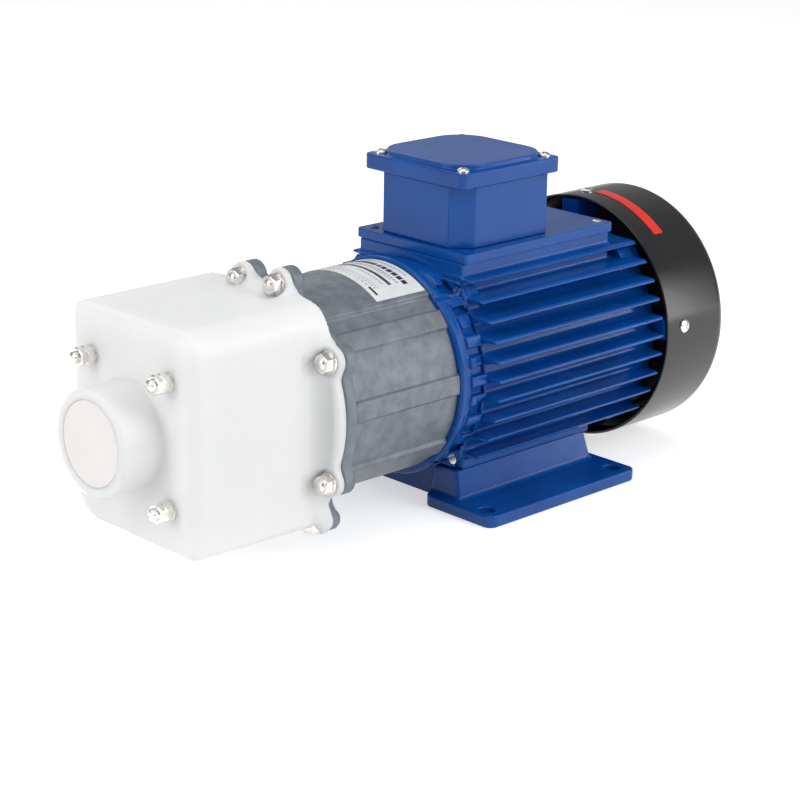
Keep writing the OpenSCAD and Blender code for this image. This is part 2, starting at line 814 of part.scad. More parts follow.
module motor_frame() color("royalblue") on_axis() difference() {
    union() {
        along_x(fins_x0, fins_x1) {
            circle(r = barrel_r);
            fin_outline();
        }
        slab([base_x0 + seat_gap, -top_pad_half, 0], [base_x1, top_pad_half, top_pad_z]);
        for (side = [0, 1]) mirror([0, side, 0])
            slab([fins_x0 + seat_gap, foot_pad_y0, foot_pad_z], [foot_pad_x1, foot_pad_y1, 0]);
        corner_lug(fins_x0 + 2 * seat_gap, fins_x0 + frame_lug_len);
        corner_lug(fins_x1 - rear_lug_len, fins_x1 - seat_gap);
    }
    rod(barrel_r - barrel_wall, fins_x0 - over, fins_x1 + over);
    shield_screw_places() {
        rod(shield_screw_r + thread_gap, fins_x0 - over, fins_x0 + shield_screw_tip);
        rod(shield_screw_r + thread_gap, fins_x1 - shield_screw_tip, fins_x1 + over);
    }
    foot_screw_places() translate([0, 0, foot_pad_z - over])
        cylinder(r = stud_r_hole, h = foot_screw_depth + over);
    for (place = base_screws_at) translate([place[0], place[1], base_z0 - base_screw_depth])
        cylinder(r = lid_screw_r + thread_gap, h = base_screw_depth + over);
    translate([box_mid_x, 0, 0]) cylinder(r = wire_hole_r, h = top_pad_z + over);
}

module foot_screw_places() for (x = [-1, 1], y = [-1, 1])
    translate([x * foot_screw_x, y * foot_screw_y, 0]) children();

module foot() {
    linear_extrude(height = foot_t) soft_rect([foot_x0, foot_inner_y], [foot_x1, foot_span / 2],
        [foot_corner_r, foot_corner_r, foot_corner_r, foot_corner_r]);
    intersection() {
        along_x(foot_x0, foot_x1) polygon([
            [foot_inner_y, 0], [riser_y0, 0], [riser_y0, foot_t],
            [riser_y1, foot_pad_z + shaft_h], [foot_inner_y, foot_pad_z + shaft_h]]);
        translate([0, foot_span / 2, 0]) rotate([quarter, 0, 0]) linear_extrude(height = foot_span)
            polygon([[foot_x0 + riser_step, 0], [foot_x1 - riser_rear_step, 0],
                [foot_x1 - riser_rear_step, foot_t],
                [foot_x1 - riser_rear_step - riser_slope, foot_pad_z + shaft_h],
                [foot_x0 + riser_step + riser_slope, foot_pad_z + shaft_h], [foot_x0 + riser_step, foot_t]]);
    }
}

module foot_bolt_places() for (x = [-1, 1], y = [-1, 1])
    translate([x * foot_pitch_x / 2, y * foot_pitch_y / 2, 0]) children();

// Both feet, joined in front by a web under the barrel
module feet() color("royalblue") difference() {
    union() {
        for (side = [0, 1]) mirror([0, side, 0]) foot();
        slab([fins_x0, -foot_inner_y - over, foot_web_z0],
            [fins_x0 + foot_web_t, foot_inner_y + over, foot_pad_z + shaft_h]);
    }
    on_axis() rod(barrel_r + seat_gap, fins_x0 - over, foot_x1 + over);
    on_axis() rod(shield_r + seat_gap, foot_x0 - over, fins_x0);
    foot_bolt_places() translate([0, 0, -over]) cylinder(r = foot_hole_d / 2, h = foot_t + 2 * over);
    foot_screw_places() translate([0, 0, -over]) {
        cylinder(r = head_screw_r + thread_gap, h = foot_screw_head_z0 + head_screw_h + over);
        cylinder(r = stud_r_hole, h = shaft_h);
    }
}

module foot_screws() color("dimgray") foot_screw_places() {
    translate([0, 0, foot_screw_head_z0]) cylinder(r = head_screw_r, h = head_screw_h);
    translate([0, 0, foot_screw_head_z0])
        cylinder(r = stud_r, h = foot_pad_z + shaft_h - foot_screw_head_z0 + foot_screw_depth - over);
}

// Motor inside
module slots(r0, r1, width, from, to) around(slot_count) slab([from, -width / 2, r0], [to, width / 2, r1]);

module stator_core() color("darkgray") on_axis() difference() {
    tube(core_fit_r, rotor_r + air_gap, core_x0, core_x1);
    slots(slot_r0, slot_r1, slot_w, core_x0 - over, core_x1 + over);
}

module stator_windings() color("peru") on_axis() {
    slots(slot_r0 + winding_gap, slot_r1 - winding_gap, slot_w - 2 * winding_gap, core_x0 - over, core_x1 + over);
    tube(slot_r1 - winding_gap, slot_r0 + winding_gap, core_x0 - winding_len, core_x0 - winding_gap);
    tube(slot_r1 - winding_gap, slot_r0 + winding_gap, core_x1 + winding_gap, core_x1 + winding_len);
}

module rotor_core() color("gray") on_axis() tube(rotor_r, core_shaft_r, core_x0, core_x1);

module rotor_end_rings() color("silver") on_axis() {
    tube(rotor_r - air_gap, rotor_r - end_ring_wall, core_x0 - end_ring_len, core_x0);
    tube(rotor_r - air_gap, rotor_r - end_ring_wall, core_x1, core_x1 + end_ring_len);
}

module motor_shaft() color("silver") on_axis() difference() {
    union() {
        rod(drive_r, drive_x0, front_race_x0);
        rod(seat_r, front_race_x0, front_race_x1);
        rod(core_shaft_r, front_race_x1, rear_race_x0);
        rod(seat_r, rear_race_x0, rear_race_x1);
        rod(fan_seat_r, rear_race_x1, shaft_x1);
    }
    slab([key_x0, -key_w / 2, drive_r - key_depth], [key_x0 + key_len, key_w / 2, drive_r + over]);
    tube(fan_seat_r + over, fan_seat_r - circlip_depth, fan_x0 + fan_hub_len,
        fan_x0 + fan_hub_len + circlip_t);
}

module shaft_key() color("dimgray") on_axis()
    slab([key_x0, -key_w / 2, drive_r - key_depth], [key_x0 + key_len, key_w / 2, drive_r + key_rise]);

module ball_groove(from) translate([from + race_len / 2, 0, 0]) rotate([0, quarter, 0])
    rotate_extrude() translate([ball_ring_r, 0]) circle(r = groove_r);

module bearing_outer_races() color("silver") on_axis() for (from = [front_race_x0, rear_race_x0])
    difference() {
        tube(race_r, outer_race_bore_r, from, from + race_len);
        ball_groove(from);
    }

module bearing_inner_races() color("silver") on_axis() for (from = [front_race_x0, rear_race_x0])
    difference() {
        tube(inner_race_r, seat_r, from, from + race_len);
        ball_groove(from);
    }

module bearing_balls() color("gainsboro") on_axis() for (from = [front_race_x0, rear_race_x0])
    around(ball_count) translate([from + race_len / 2, 0, ball_ring_r]) sphere(r = ball_r);

module wave_washer() color("silver") on_axis()
    tube(race_r - seat_gap, outer_race_bore_r, rear_race_x1, rear_race_x1 + washer_gap_t - seat_gap);

module rear_shield() color("royalblue") on_axis() difference() {
    union() {
        rod(barrel_r, fins_x1, fins_x1 + rear_flange_t);
        tube(barrel_r - barrel_wall - seat_gap, barrel_r - barrel_wall - spigot_t,
            fins_x1 - rear_spigot_len, fins_x1 + over);
        rod(race_r + hub_wall, rear_race_x0, fins_x1 + over);
        corner_lug(fins_x1, fins_x1 + rear_flange_t);
        around(screw_count, -cover_screw_turn) slab([fins_x1, -cover_boss_half, barrel_r - cover_boss_root],
            [fins_x1 + cover_boss_len, cover_boss_half, cover_boss_r - over]);
    }
    rod(race_r + race_gap, rear_race_x0 - over, rear_race_x1 + washer_gap_t);
    rod(lip_bore_r, rear_race_x0, fins_x1 + rear_flange_t + over);
    shield_screw_places() rod(shield_screw_r + thread_gap, fins_x1 - over, fins_x1 + rear_flange_t + over);
    around(screw_count, -cover_screw_turn) translate([cover_screw_x, 0, cover_r - cover_screw_depth])
        cylinder(r = cover_screw_r + thread_gap, h = cover_screw_depth + over);
}

module rear_shield_screws() color("silver") on_axis() shield_screw_places()
    cap_screw(shield_screw_r, shield_screw_head_r, fins_x1 + rear_flange_t + shield_screw_head_h,
        fins_x1 + rear_flange_t, fins_x1 - shield_screw_tip + over);

// Fan end
module cooling_fan() color("dimgray") on_axis() difference() {
    union() {
        rod(fan_hub_r, fan_x0, fan_x0 + fan_hub_len);
        rod(fan_r, fan_disc_x0, fan_disc_x0 + fan_disc_t);
        around(fan_blades) slab([fan_disc_x0, -fan_blade_t / 2, fan_hub_r - over],
            [fan_disc_x0 + fan_blade_h, fan_blade_t / 2, fan_r - over]);
    }
    rod(fan_seat_r, fan_x0 - over, fan_x0 + fan_hub_len + over);
}

module fan_circlip() color("black") on_axis()
    tube(circlip_r, fan_seat_r - circlip_depth, fan_x0 + fan_hub_len, fan_x0 + fan_hub_len + circlip_t);

// A cup turned about the shaft, with a bend between its side and its end
module cup(r, from, to, bend) rotate([0, quarter, 0]) rotate_extrude()
    soft_rect_right(r, from, to, bend);

module soft_rect_right(r, from, to, bend) difference() {
    translate([0, from]) square([r, to - from]);
    translate([r, to]) mirror([1, 0]) mirror([0, 1]) corner_cut(bend);
}

module grille_ring(i) {
    step = (grille_outer_r - grille_inner_r) / grille_rings;
    difference() {
        tube(grille_inner_r + (i + grille_share) * step, grille_inner_r + i * step,
            cover_x1 - cover_wall - over, cover_x1 + over);
        around(grille_ribs) slab([cover_x1 - cover_bend_r, -grille_rib_w / 2, 0],
            [cover_x1 + 2 * over, grille_rib_w / 2, cover_r]);
    }
}

module fan_cover() color("black") on_axis() difference() {
    cup(cover_r, cover_x0, cover_x1, cover_bend_r);
    cup(cover_r - cover_wall, cover_x0 - over, cover_x1 - cover_wall, cover_bend_r - cover_wall);
    for (i = [0:grille_rings - 1]) grille_ring(i);
    around(screw_count, -cover_screw_turn) translate([cover_screw_x, 0, cover_r / 2])
        cylinder(r = cover_screw_r + thread_gap, h = cover_r);
}

module cover_screws() color("silver") on_axis() around(screw_count, -cover_screw_turn)
    translate([cover_screw_x, 0, cover_r]) {
        cylinder(r = cover_screw_head_r, h = cover_screw_head_h);
        translate([0, 0, over - cover_screw_depth]) cylinder(r = cover_screw_r, h = cover_screw_depth);
    }

module stripe() color("red") on_axis()
    sector(cover_r + stripe_t, cover_r, stripe_x0, stripe_x0 + stripe_len, -stripe_angle, stripe_angle);

// Terminal box
module plan_with_chamfers(half_x, half_y, cut) polygon([
    [-half_x + cut, -half_y], [half_x - cut, -half_y], [half_x, -half_y + cut], [half_x, half_y - cut],
    [half_x - cut, half_y], [-half_x + cut, half_y], [-half_x, half_y - cut], [-half_x, -half_y + cut]]);

module terminal_base() color("royalblue") on_axis() difference() {
    slab([base_x0, -base_w / 2, base_z0], [base_x1, base_w / 2, base_z1]);
    for (place = base_screws_at) translate([place[0], place[1], base_z0 - over])
        cylinder(r = lid_screw_r + thread_gap, h = base_t + 2 * over);
    translate([box_mid_x, 0, base_z0 - over]) cylinder(r = wire_hole_r, h = base_t + 2 * over);
}

module terminal_base_screws() color("silver") on_axis() for (place = base_screws_at)
    translate([place[0], place[1], base_z1]) {
        cylinder(r = base_screw_head_r, h = base_screw_head_h);
        translate([0, 0, over - base_t - base_screw_depth])
            cylinder(r = lid_screw_r, h = base_t + base_screw_depth - over + base_screw_head_h / 2);
    }

module box_body_plan(shrink) translate([box_mid_x, 0])
    plan_with_chamfers((box_x1 - box_x0) / 2 - shrink, box_half - shrink, box_chamfer);

module terminal_box() color("royalblue") on_axis() difference() {
    union() {
        translate([0, 0, base_z1]) linear_extrude(height = box_h) box_body_plan(0);
        for (place = lid_screws_at) translate([place[0], place[1], box_z1 - lid_boss_len])
            cylinder(r = lid_boss_r, h = lid_boss_len);
    }
    difference() {
        translate([0, 0, base_z1 + box_floor_t]) linear_extrude(height = box_h) box_body_plan(box_wall);
        for (place = lid_screws_at) translate([place[0], place[1], box_z1 - lid_boss_len])
            cylinder(r = lid_boss_r, h = lid_boss_len);
    }
    for (place = lid_screws_at) translate([place[0], place[1], box_z1 - lid_screw_depth])
        cylinder(r = lid_screw_r + thread_gap, h = lid_screw_depth + over);
    translate([box_mid_x, 0, base_z1 - over]) cylinder(r = wire_hole_r, h = box_floor_t + 2 * over);
    translate([box_mid_x, 0, entry_z]) rotate([-quarter, 0, 0])
        cylinder(r = entry_r + thread_gap, h = box_half + over);
}

module terminal_gasket() color("black") on_axis() difference() {
    translate([0, 0, box_z1]) linear_extrude(height = gasket_t) box_body_plan(0);
    translate([0, 0, box_z1 - over]) linear_extrude(height = gasket_t + 2 * over) box_body_plan(box_wall);
}

module terminal_lid() color("royalblue") on_axis() difference() {
    union() {
        translate([0, 0, lid_z0]) linear_extrude(height = lid_t)
            soft_rect([lid_x0, -lid_w / 2], [lid_x1, lid_w / 2],
                [lid_corner_r, lid_corner_r, lid_corner_r, lid_corner_r]);
        slab([lid_x0 + panel_inset, panel_inset - lid_w / 2, lid_z1 - over],
            [lid_x1 - panel_inset, lid_w / 2 - panel_inset, lid_z1 + panel_h]);
    }
    translate([0, 0, lid_z0 - over]) linear_extrude(height = lid_t - lid_skin + over)
        box_body_plan(box_wall);
    for (place = lid_screws_at) translate([place[0], place[1], lid_z0 - over])
        cylinder(r = lid_screw_r + thread_gap, h = lid_t + 2 * over);
    for (place = lid_screws_at) translate([place[0], place[1], lid_z1])
        cylinder(r = panel_notch_r, h = panel_h + over);
}

module lid_screws() color("silver") on_axis() for (place = lid_screws_at)
    translate([place[0], place[1], lid_z1]) {
        cylinder(r = lid_screw_head_r, h = lid_screw_head_h);
        translate([0, 0, -lid_t - lid_screw_depth + over])
            cylinder(r = lid_screw_r, h = lid_t + lid_screw_depth);
    }

module terminal_block() color("saddlebrown") on_axis()
    translate([box_mid_x, -entry_r, base_z1 + box_floor_t]) {
        slab([-block_len / 2, -block_w / 2, 0], [block_len / 2, block_w / 2, block_h]);
        for (column = [-1, 0, 1], row = [-1, 1])
            translate([column * post_pitch_x, row * post_pitch_y / 2, block_h - over])
            cylinder(r = terminal_post_r, h = terminal_post_h + over);
    }

module entry_plug() color("black") on_axis() translate([box_mid_x, 0, entry_z]) rotate([-quarter, 0, 0]) {
    translate([0, 0, box_half]) cylinder(r = entry_head_r, h = entry_head_t);
    translate([0, 0, box_half - box_wall]) cylinder(r = entry_r, h = box_wall + entry_head_t / 2);
}

casing();
suction_plug();
discharge_plug();
front_studs();
front_nuts();
front_washers();
flange_studs();
flange_nuts();
flange_washers();
volute();
impeller();
inner_magnet_can();
inner_magnets();
impeller_bush();
thrust_rings();
pump_shaft();
containment_shell();
casing_o_ring();
bracket();
label_plate();
bracket_screws();
magnet_carrier();
outer_magnets();
carrier_set_screws();
front_shield();
front_shield_screws();
motor_frame();
feet();
foot_screws();
stator_core();
stator_windings();
rotor_core();
rotor_end_rings();
motor_shaft();
shaft_key();
bearing_outer_races();
bearing_balls();
bearing_inner_races();
wave_washer();
rear_shield();
rear_shield_screws();
cooling_fan();
fan_circlip();
fan_cover();
cover_screws();
stripe();
terminal_base();
terminal_base_screws();
terminal_box();
terminal_gasket();
terminal_lid();
lid_screws();
terminal_block();
entry_plug();
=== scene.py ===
"""Looks of the horizontal magnetic drive pump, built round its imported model."""
import json
import math

import bmesh
import bpy
import numpy as np
from mathutils import Matrix, Vector


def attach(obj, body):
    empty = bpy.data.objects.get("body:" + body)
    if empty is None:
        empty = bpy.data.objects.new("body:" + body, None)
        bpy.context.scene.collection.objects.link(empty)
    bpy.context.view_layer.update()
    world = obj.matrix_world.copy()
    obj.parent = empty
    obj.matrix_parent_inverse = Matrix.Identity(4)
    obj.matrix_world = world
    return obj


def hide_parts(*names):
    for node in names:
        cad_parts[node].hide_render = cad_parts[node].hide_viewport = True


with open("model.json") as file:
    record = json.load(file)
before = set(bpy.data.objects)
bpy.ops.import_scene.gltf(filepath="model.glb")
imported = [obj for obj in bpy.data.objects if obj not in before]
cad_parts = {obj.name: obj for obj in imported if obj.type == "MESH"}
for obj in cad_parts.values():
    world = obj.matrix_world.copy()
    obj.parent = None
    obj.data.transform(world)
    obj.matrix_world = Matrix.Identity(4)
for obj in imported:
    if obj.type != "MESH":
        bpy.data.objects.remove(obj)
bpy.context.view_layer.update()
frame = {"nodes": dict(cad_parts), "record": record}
CAD = frame["nodes"]
MM = 0.001
AXIS_H = 80.0


# Camera, floor and light

def photo_camera():
    """The camera of the photograph: where it stands, its aim, roll and lens."""
    turn, rise, roll = math.radians(-44.3), math.radians(18.03), math.radians(0.98)
    right = Vector((math.cos(turn), math.sin(turn), 0))
    back = Vector((math.sin(turn) * math.cos(rise), -math.cos(turn) * math.cos(rise), math.sin(rise)))
    up = back.cross(right)
    image_right = right * math.cos(roll) + up * math.sin(roll)
    image_up = up * math.cos(roll) - right * math.sin(roll)
    data = bpy.data.cameras.new("photo_camera")
    data.sensor_width = 36
    data.lens = 101.16
    data.clip_end = 20
    camera = bpy.data.objects.new("photo_camera", data)
    bpy.context.scene.collection.objects.link(camera)
    turned = Matrix((image_right, image_up, back)).transposed().to_4x4()
    camera.matrix_world = Matrix.Translation((-0.9262, -0.8918, 0.4619)) @ turned
    bpy.context.scene.camera = camera


def seen_directly(nodes, links):
    """One where the camera looks, straight or through something clear, and nought elsewhere."""
    path = nodes.new("ShaderNodeLightPath")
    either = nodes.new("ShaderNodeMath")
    either.operation = "MAXIMUM"
    links.new(path.outputs["Is Camera Ray"], either.inputs[0])
    links.new(path.outputs["Is Transmission Ray"], either.inputs[1])
    return either.outputs[0]


def white_room():
    """A world that lights evenly, and looks white where it is seen directly."""
    world = bpy.data.worlds.new("white_room")
    bpy.context.scene.world = world
    world.use_nodes = True
    nodes, links = world.node_tree.nodes, world.node_tree.links
    nodes.clear()
    out = nodes.new("ShaderNodeOutputWorld")
    mix = nodes.new("ShaderNodeMixShader")
    soft = nodes.new("ShaderNodeBackground")
    soft.inputs["Strength"].default_value = 0.36
    soft.inputs["Color"].default_value = (0.98, 0.99, 1.0, 1)
    white = nodes.new("ShaderNodeBackground")
    white.inputs["Color"].default_value = (1, 1, 1, 1)
    white.inputs["Strength"].default_value = 1.0
    links.new(seen_directly(nodes, links), mix.inputs[0])
    links.new(soft.outputs[0], mix.inputs[1])
    links.new(white.outputs[0], mix.inputs[2])
    links.new(mix.outputs[0], out.inputs["Surface"])


def lamp(name, place, aim, size, watts, tint=(1, 1, 1)):
    data = bpy.data.lights.new(name, "AREA")
    data.shape = "RECTANGLE"
    data.size, data.size_y = size
    data.energy = watts
    data.color = tint
    light = bpy.data.objects.new(name, data)
    bpy.context.scene.collection.objects.link(light)
    light.location = place
    light.rotation_euler = (Vector(aim) - Vector(place)).to_track_quat("-Z", "Y").to_euler()


def pale_floor():
    mesh = bpy.data.meshes.new("pale_floor")
    half = 6.0
    mesh.from_pydata([(-half, -half, 0), (half, -half, 0), (half, half, 0), (-half, half, 0)], [],
                     [(0, 1, 2, 3)])
    floor = bpy.data.objects.new("pale_floor", mesh)
    bpy.context.scene.collection.objects.link(floor)
    paint = bpy.data.materials.new("pale_floor")
    paint.use_nodes = True
    shader = paint.node_tree.nodes["Principled BSDF"]
    shader.inputs["Base Color"].default_value = (0.9, 0.9, 0.9, 1)
    shader.inputs["Roughness"].default_value = 0.9
    shader.inputs["Emission Color"].default_value = (1, 1, 1, 1)
    nodes, links = paint.node_tree.nodes, paint.node_tree.links
    path = nodes.new("ShaderNodeLightPath")
    glow = nodes.new("ShaderNodeMath")
    glow.operation = "MULTIPLY"
    glow.inputs[1].default_value = 0.55
    seen = nodes.new("ShaderNodeMath")
    seen.operation = "MAXIMUM"
    links.new(path.outputs["Is Camera Ray"], seen.inputs[0])
    links.new(path.outputs["Is Glossy Ray"], seen.inputs[1])
    links.new(seen.outputs[0], glow.inputs[0])
    links.new(glow.outputs[0], shader.inputs["Emission Strength"])
    mesh.materials.append(paint)


photo_camera()
white_room()
lamp("top_box", (-0.2, -0.15, 1.5), (-0.05, 0, 0.1), (1.5, 1.5), 6.5)
lamp("left_box", (-1.6, 0.25, 0.75), (-0.1, 0, 0.1), (0.9, 1.3), 10)
lamp("right_box", (0.5, -1.45, 0.85), (0.0, 0, 0.1), (0.9, 1.2), 12)
lamp("right_strip", (1.25, -1.1, 0.4), (0.1, 0, 0.1), (0.16, 0.9), 2.6)
lamp("rear_box", (0.5, 1.4, 1.2), (0.0, 0, 0.1), (1.4, 1.0), 4)
pale_floor()
bpy.context.scene.view_settings.view_transform = "Standard"


# Finishes: every one varies its colour, roughness and relief with noise in Object coordinates

def noise(nodes, links, coords, scale, detail=4.0, stretch=None):
    source = coords
    if stretch:
        mapping = nodes.new("ShaderNodeMapping")
        mapping.inputs["Scale"].default_value = stretch
        links.new(coords, mapping.inputs["Vector"])
        source = mapping.outputs["Vector"]
    texture = nodes.new("ShaderNodeTexNoise")
    texture.inputs["Scale"].default_value = scale
    texture.inputs["Detail"].default_value = detail
    links.new(source, texture.inputs["Vector"])
    return texture.outputs["Fac"]


def finish(name, pale, deep, cloud=60.0, grain=1200.0, rough=(0.3, 0.45), relief=0.05, relief_mm=0.1,
           stretch=None, **shader_values):
    """A paint, metal or plastic: cloud is the scale of its colour's drift, grain that of its relief."""
    paint = bpy.data.materials.new(name)
    paint.use_nodes = True
    nodes, links = paint.node_tree.nodes, paint.node_tree.links
    shader = nodes["Principled BSDF"]
    coords = nodes.new("ShaderNodeTexCoord").outputs["Object"]
    drift = noise(nodes, links, coords, cloud, 5.0, stretch)
    fine = noise(nodes, links, coords, grain, 3.0, stretch)
    ramp = nodes.new("ShaderNodeValToRGB")
    ramp.color_ramp.elements[0].position = 0.3
    ramp.color_ramp.elements[0].color = (*deep, 1)
    ramp.color_ramp.elements[1].position = 0.7
    ramp.color_ramp.elements[1].color = (*pale, 1)
    links.new(drift, ramp.inputs["Fac"])
    links.new(ramp.outputs["Color"], shader.inputs["Base Color"])
    spread = nodes.new("ShaderNodeMapRange")
    spread.inputs["To Min"].default_value = rough[0]
    spread.inputs["To Max"].default_value = rough[1]
    links.new(fine, spread.inputs["Value"])
    links.new(spread.outputs["Result"], shader.inputs["Roughness"])
    bump = nodes.new("ShaderNodeBump")
    bump.inputs["Strength"].default_value = relief
    bump.inputs["Distance"].default_value = relief_mm * MM
    links.new(fine, bump.inputs["Height"])
    links.new(bump.outputs["Normal"], shader.inputs["Normal"])
    for socket, value in shader_values.items():
        shader.inputs[socket.replace("_", " ")].default_value = value
    return paint


FINISHES = {
    "head_plastic": finish("milky_head_plastic", (0.945, 0.935, 0.915), (0.91, 0.905, 0.89), 30, 900,
                           (0.34, 0.46), 0.12, 0.15, Subsurface_Weight=0.7, Subsurface_Scale=0.012,
                           Subsurface_Radius=(1.0, 0.9, 0.8)),
    "port_cap_plastic": finish("port_cap_plastic", (0.92, 0.88, 0.86), (0.89, 0.845, 0.825), 40, 900,
                               (0.4, 0.5), 0.1),
    "stainless": finish("stainless_fasteners", (0.95, 0.92, 0.89), (0.72, 0.69, 0.66), 260, 2500,
                        (0.14, 0.3), 0.1, 0.05, Metallic=1.0),
    "inner_plastic": finish("inner_plastic", (0.85, 0.83, 0.76), (0.80, 0.78, 0.70), 60, 900, (0.4, 0.5)),
    "magnet": finish("nickelled_magnets", (0.3, 0.3, 0.31), (0.2, 0.2, 0.21), 90, 1500, (0.3, 0.45),
                     Metallic=0.9),
    "carbon": finish("carbon_bush", (0.06, 0.06, 0.065), (0.03, 0.03, 0.033), 90, 1800, (0.35, 0.5)),
    "ceramic": finish("ground_ceramic", (0.88, 0.86, 0.80), (0.84, 0.82, 0.75), 90, 1800, (0.15, 0.25)),
    "shell_plastic": finish("shell_plastic", (0.10, 0.10, 0.11), (0.06, 0.06, 0.065), 90, 900, (0.4, 0.55)),
    "seal_rubber": finish("seal_rubber", (0.03, 0.03, 0.03), (0.018, 0.018, 0.018), 120, 900, (0.6, 0.8)),
    "bracket_grey": finish("bare_cast_bracket", (0.235, 0.26, 0.29), (0.15, 0.17, 0.197), 130, 1100,
                           (0.36, 0.58), 0.55, 0.3, Metallic=0.3),
    "label_foil": finish("label_foil", (0.84, 0.85, 0.84), (0.76, 0.78, 0.78), 80, 1500, (0.25, 0.4)),
    "black_steel": finish("blackened_steel", (0.05, 0.05, 0.055), (0.02, 0.02, 0.022), 200, 2000,
                          (0.3, 0.5), Metallic=0.8),
    "steel": finish("turned_steel", (0.55, 0.55, 0.55), (0.42, 0.42, 0.42), 200, 2600, (0.2, 0.35),
                    stretch=(4, 1, 1), Metallic=1.0),
    "motor_blue": finish("blue_motor_enamel", (0.002, 0.083, 0.37), (0.001, 0.058, 0.28), 24, 420,
                         (0.16, 0.27), 0.2, 0.12, Specular_IOR_Level=0.32),
    "laminations": finish("stacked_laminations", (0.34, 0.34, 0.36), (0.2, 0.2, 0.22), 300, 2200,
                          (0.4, 0.6), stretch=(6, 1, 1), Metallic=0.9),
    "copper": finish("varnished_copper", (0.55, 0.24, 0.1), (0.35, 0.13, 0.05), 200, 1600, (0.25, 0.4),
                     Metallic=0.9),
    "cage_aluminium": finish("cage_aluminium", (0.7, 0.7, 0.7), (0.55, 0.55, 0.55), 120, 1600,
                             (0.35, 0.5), Metallic=1.0),
    "fan_plastic": finish("black_fan_plastic", (0.03, 0.03, 0.032), (0.015, 0.015, 0.016), 90, 900,
                          (0.4, 0.55)),
    "cover_black": finish("black_cover_enamel", (0.008, 0.008, 0.009), (0.004, 0.004, 0.005), 30, 500,
                          (0.16, 0.28), 0.12, 0.1, Coat_Weight=0.15, Coat_Roughness=0.1),
    "stripe_red": finish("red_stripe_paint", (0.85, 0.035, 0.02), (0.75, 0.02, 0.012), 60, 900, (0.2, 0.3)),
    "block_plastic": finish("terminal_block_plastic", (0.12, 0.06, 0.03), (0.08, 0.04, 0.02), 90, 900,
                            (0.4, 0.5)),
}
SLOT_OF = {row["node"]: row["material_slot"] for row in frame["record"]["subparts"]}


def paint_cad_nodes():
    """Gives every CAD node that stays its finish, on the material slots it has."""
    for name, node in CAD.items():
        paint = FINISHES[SLOT_OF[name]]
        if not node.data.materials:
            node.data.materials.append(paint)
        for spot in node.material_slots:
            spot.material = paint


paint_cad_nodes()


# Shapes: cast and moulded pieces are the zero surface of a signed distance, in millimetres with
# the height measured from the shaft axis; negative is inside

def rounded_join(a, b, r):
    return np.maximum(r, np.minimum(a, b)) - np.hypot(np.maximum(r - a, 0), np.maximum(r - b, 0))


def rounded_common(a, b, r):
    return np.minimum(-r, np.maximum(a, b)) + np.hypot(np.maximum(r + a, 0), np.maximum(r + b, 0))


def rounded_cut(a, b, r):
    return rounded_common(a, -b, r)


def between(value, low, high):
    return np.maximum(low - value, value - high)


def soft_rectangle(y, z, low, high, radii):
    """Distance to a rectangle; radii are those of the near low, far low, far top and near top corner."""
    v, w = y - (low[0] + high[0]) / 2, z - (low[1] + high[1]) / 2
    near, bottom = v < 0, w < 0
    r = np.where(bottom, np.where(near, radii[0], radii[1]), np.where(near, radii[3], radii[2]))
    a, b = np.abs(v) - (high[0] - low[0]) / 2 + r, np.abs(w) - (high[1] - low[1]) / 2 + r
    return np.minimum(np.maximum(a, b), 0) + np.hypot(np.maximum(a, 0), np.maximum(b, 0)) - r


def spoke(y, z, place, r):
    """Distance to a bar of half width r with a round end, from the axis to a place."""
    along = np.clip((y * place[0] + z * place[1]) / (place[0] ** 2 + place[1] ** 2), 0, 1)
    return np.hypot(y - along * place[0], z - along * place[1]) - r


def stations(*runs):
    """Grid stations from runs of (low, high, step)."""
    return np.unique(np.concatenate([np.linspace(a, b, int(round((b - a) / s)) + 1) for a, b, s in runs]))


CORNERS = [(i, j, k) for i in (0, 1) for j in (0, 1) for k in (0, 1)]
EDGES = [(a, b) for a in CORNERS for b in CORNERS
         if sum(b) - sum(a) == 1 and all(q >= p for p, q in zip(a, b))]


def slope(field, points, reach=0.02):
    """How the field rises along x, y and z at each point."""
    x, y, z = points.T
    rises = [field(x + reach, y, z) - field(x - reach, y, z),
             field(x, y + reach, z) - field(x, y - reach, z),
             field(x, y, z + reach) - field(x, y, z - reach)]
    return np.stack(rises, 1) / (2 * reach)


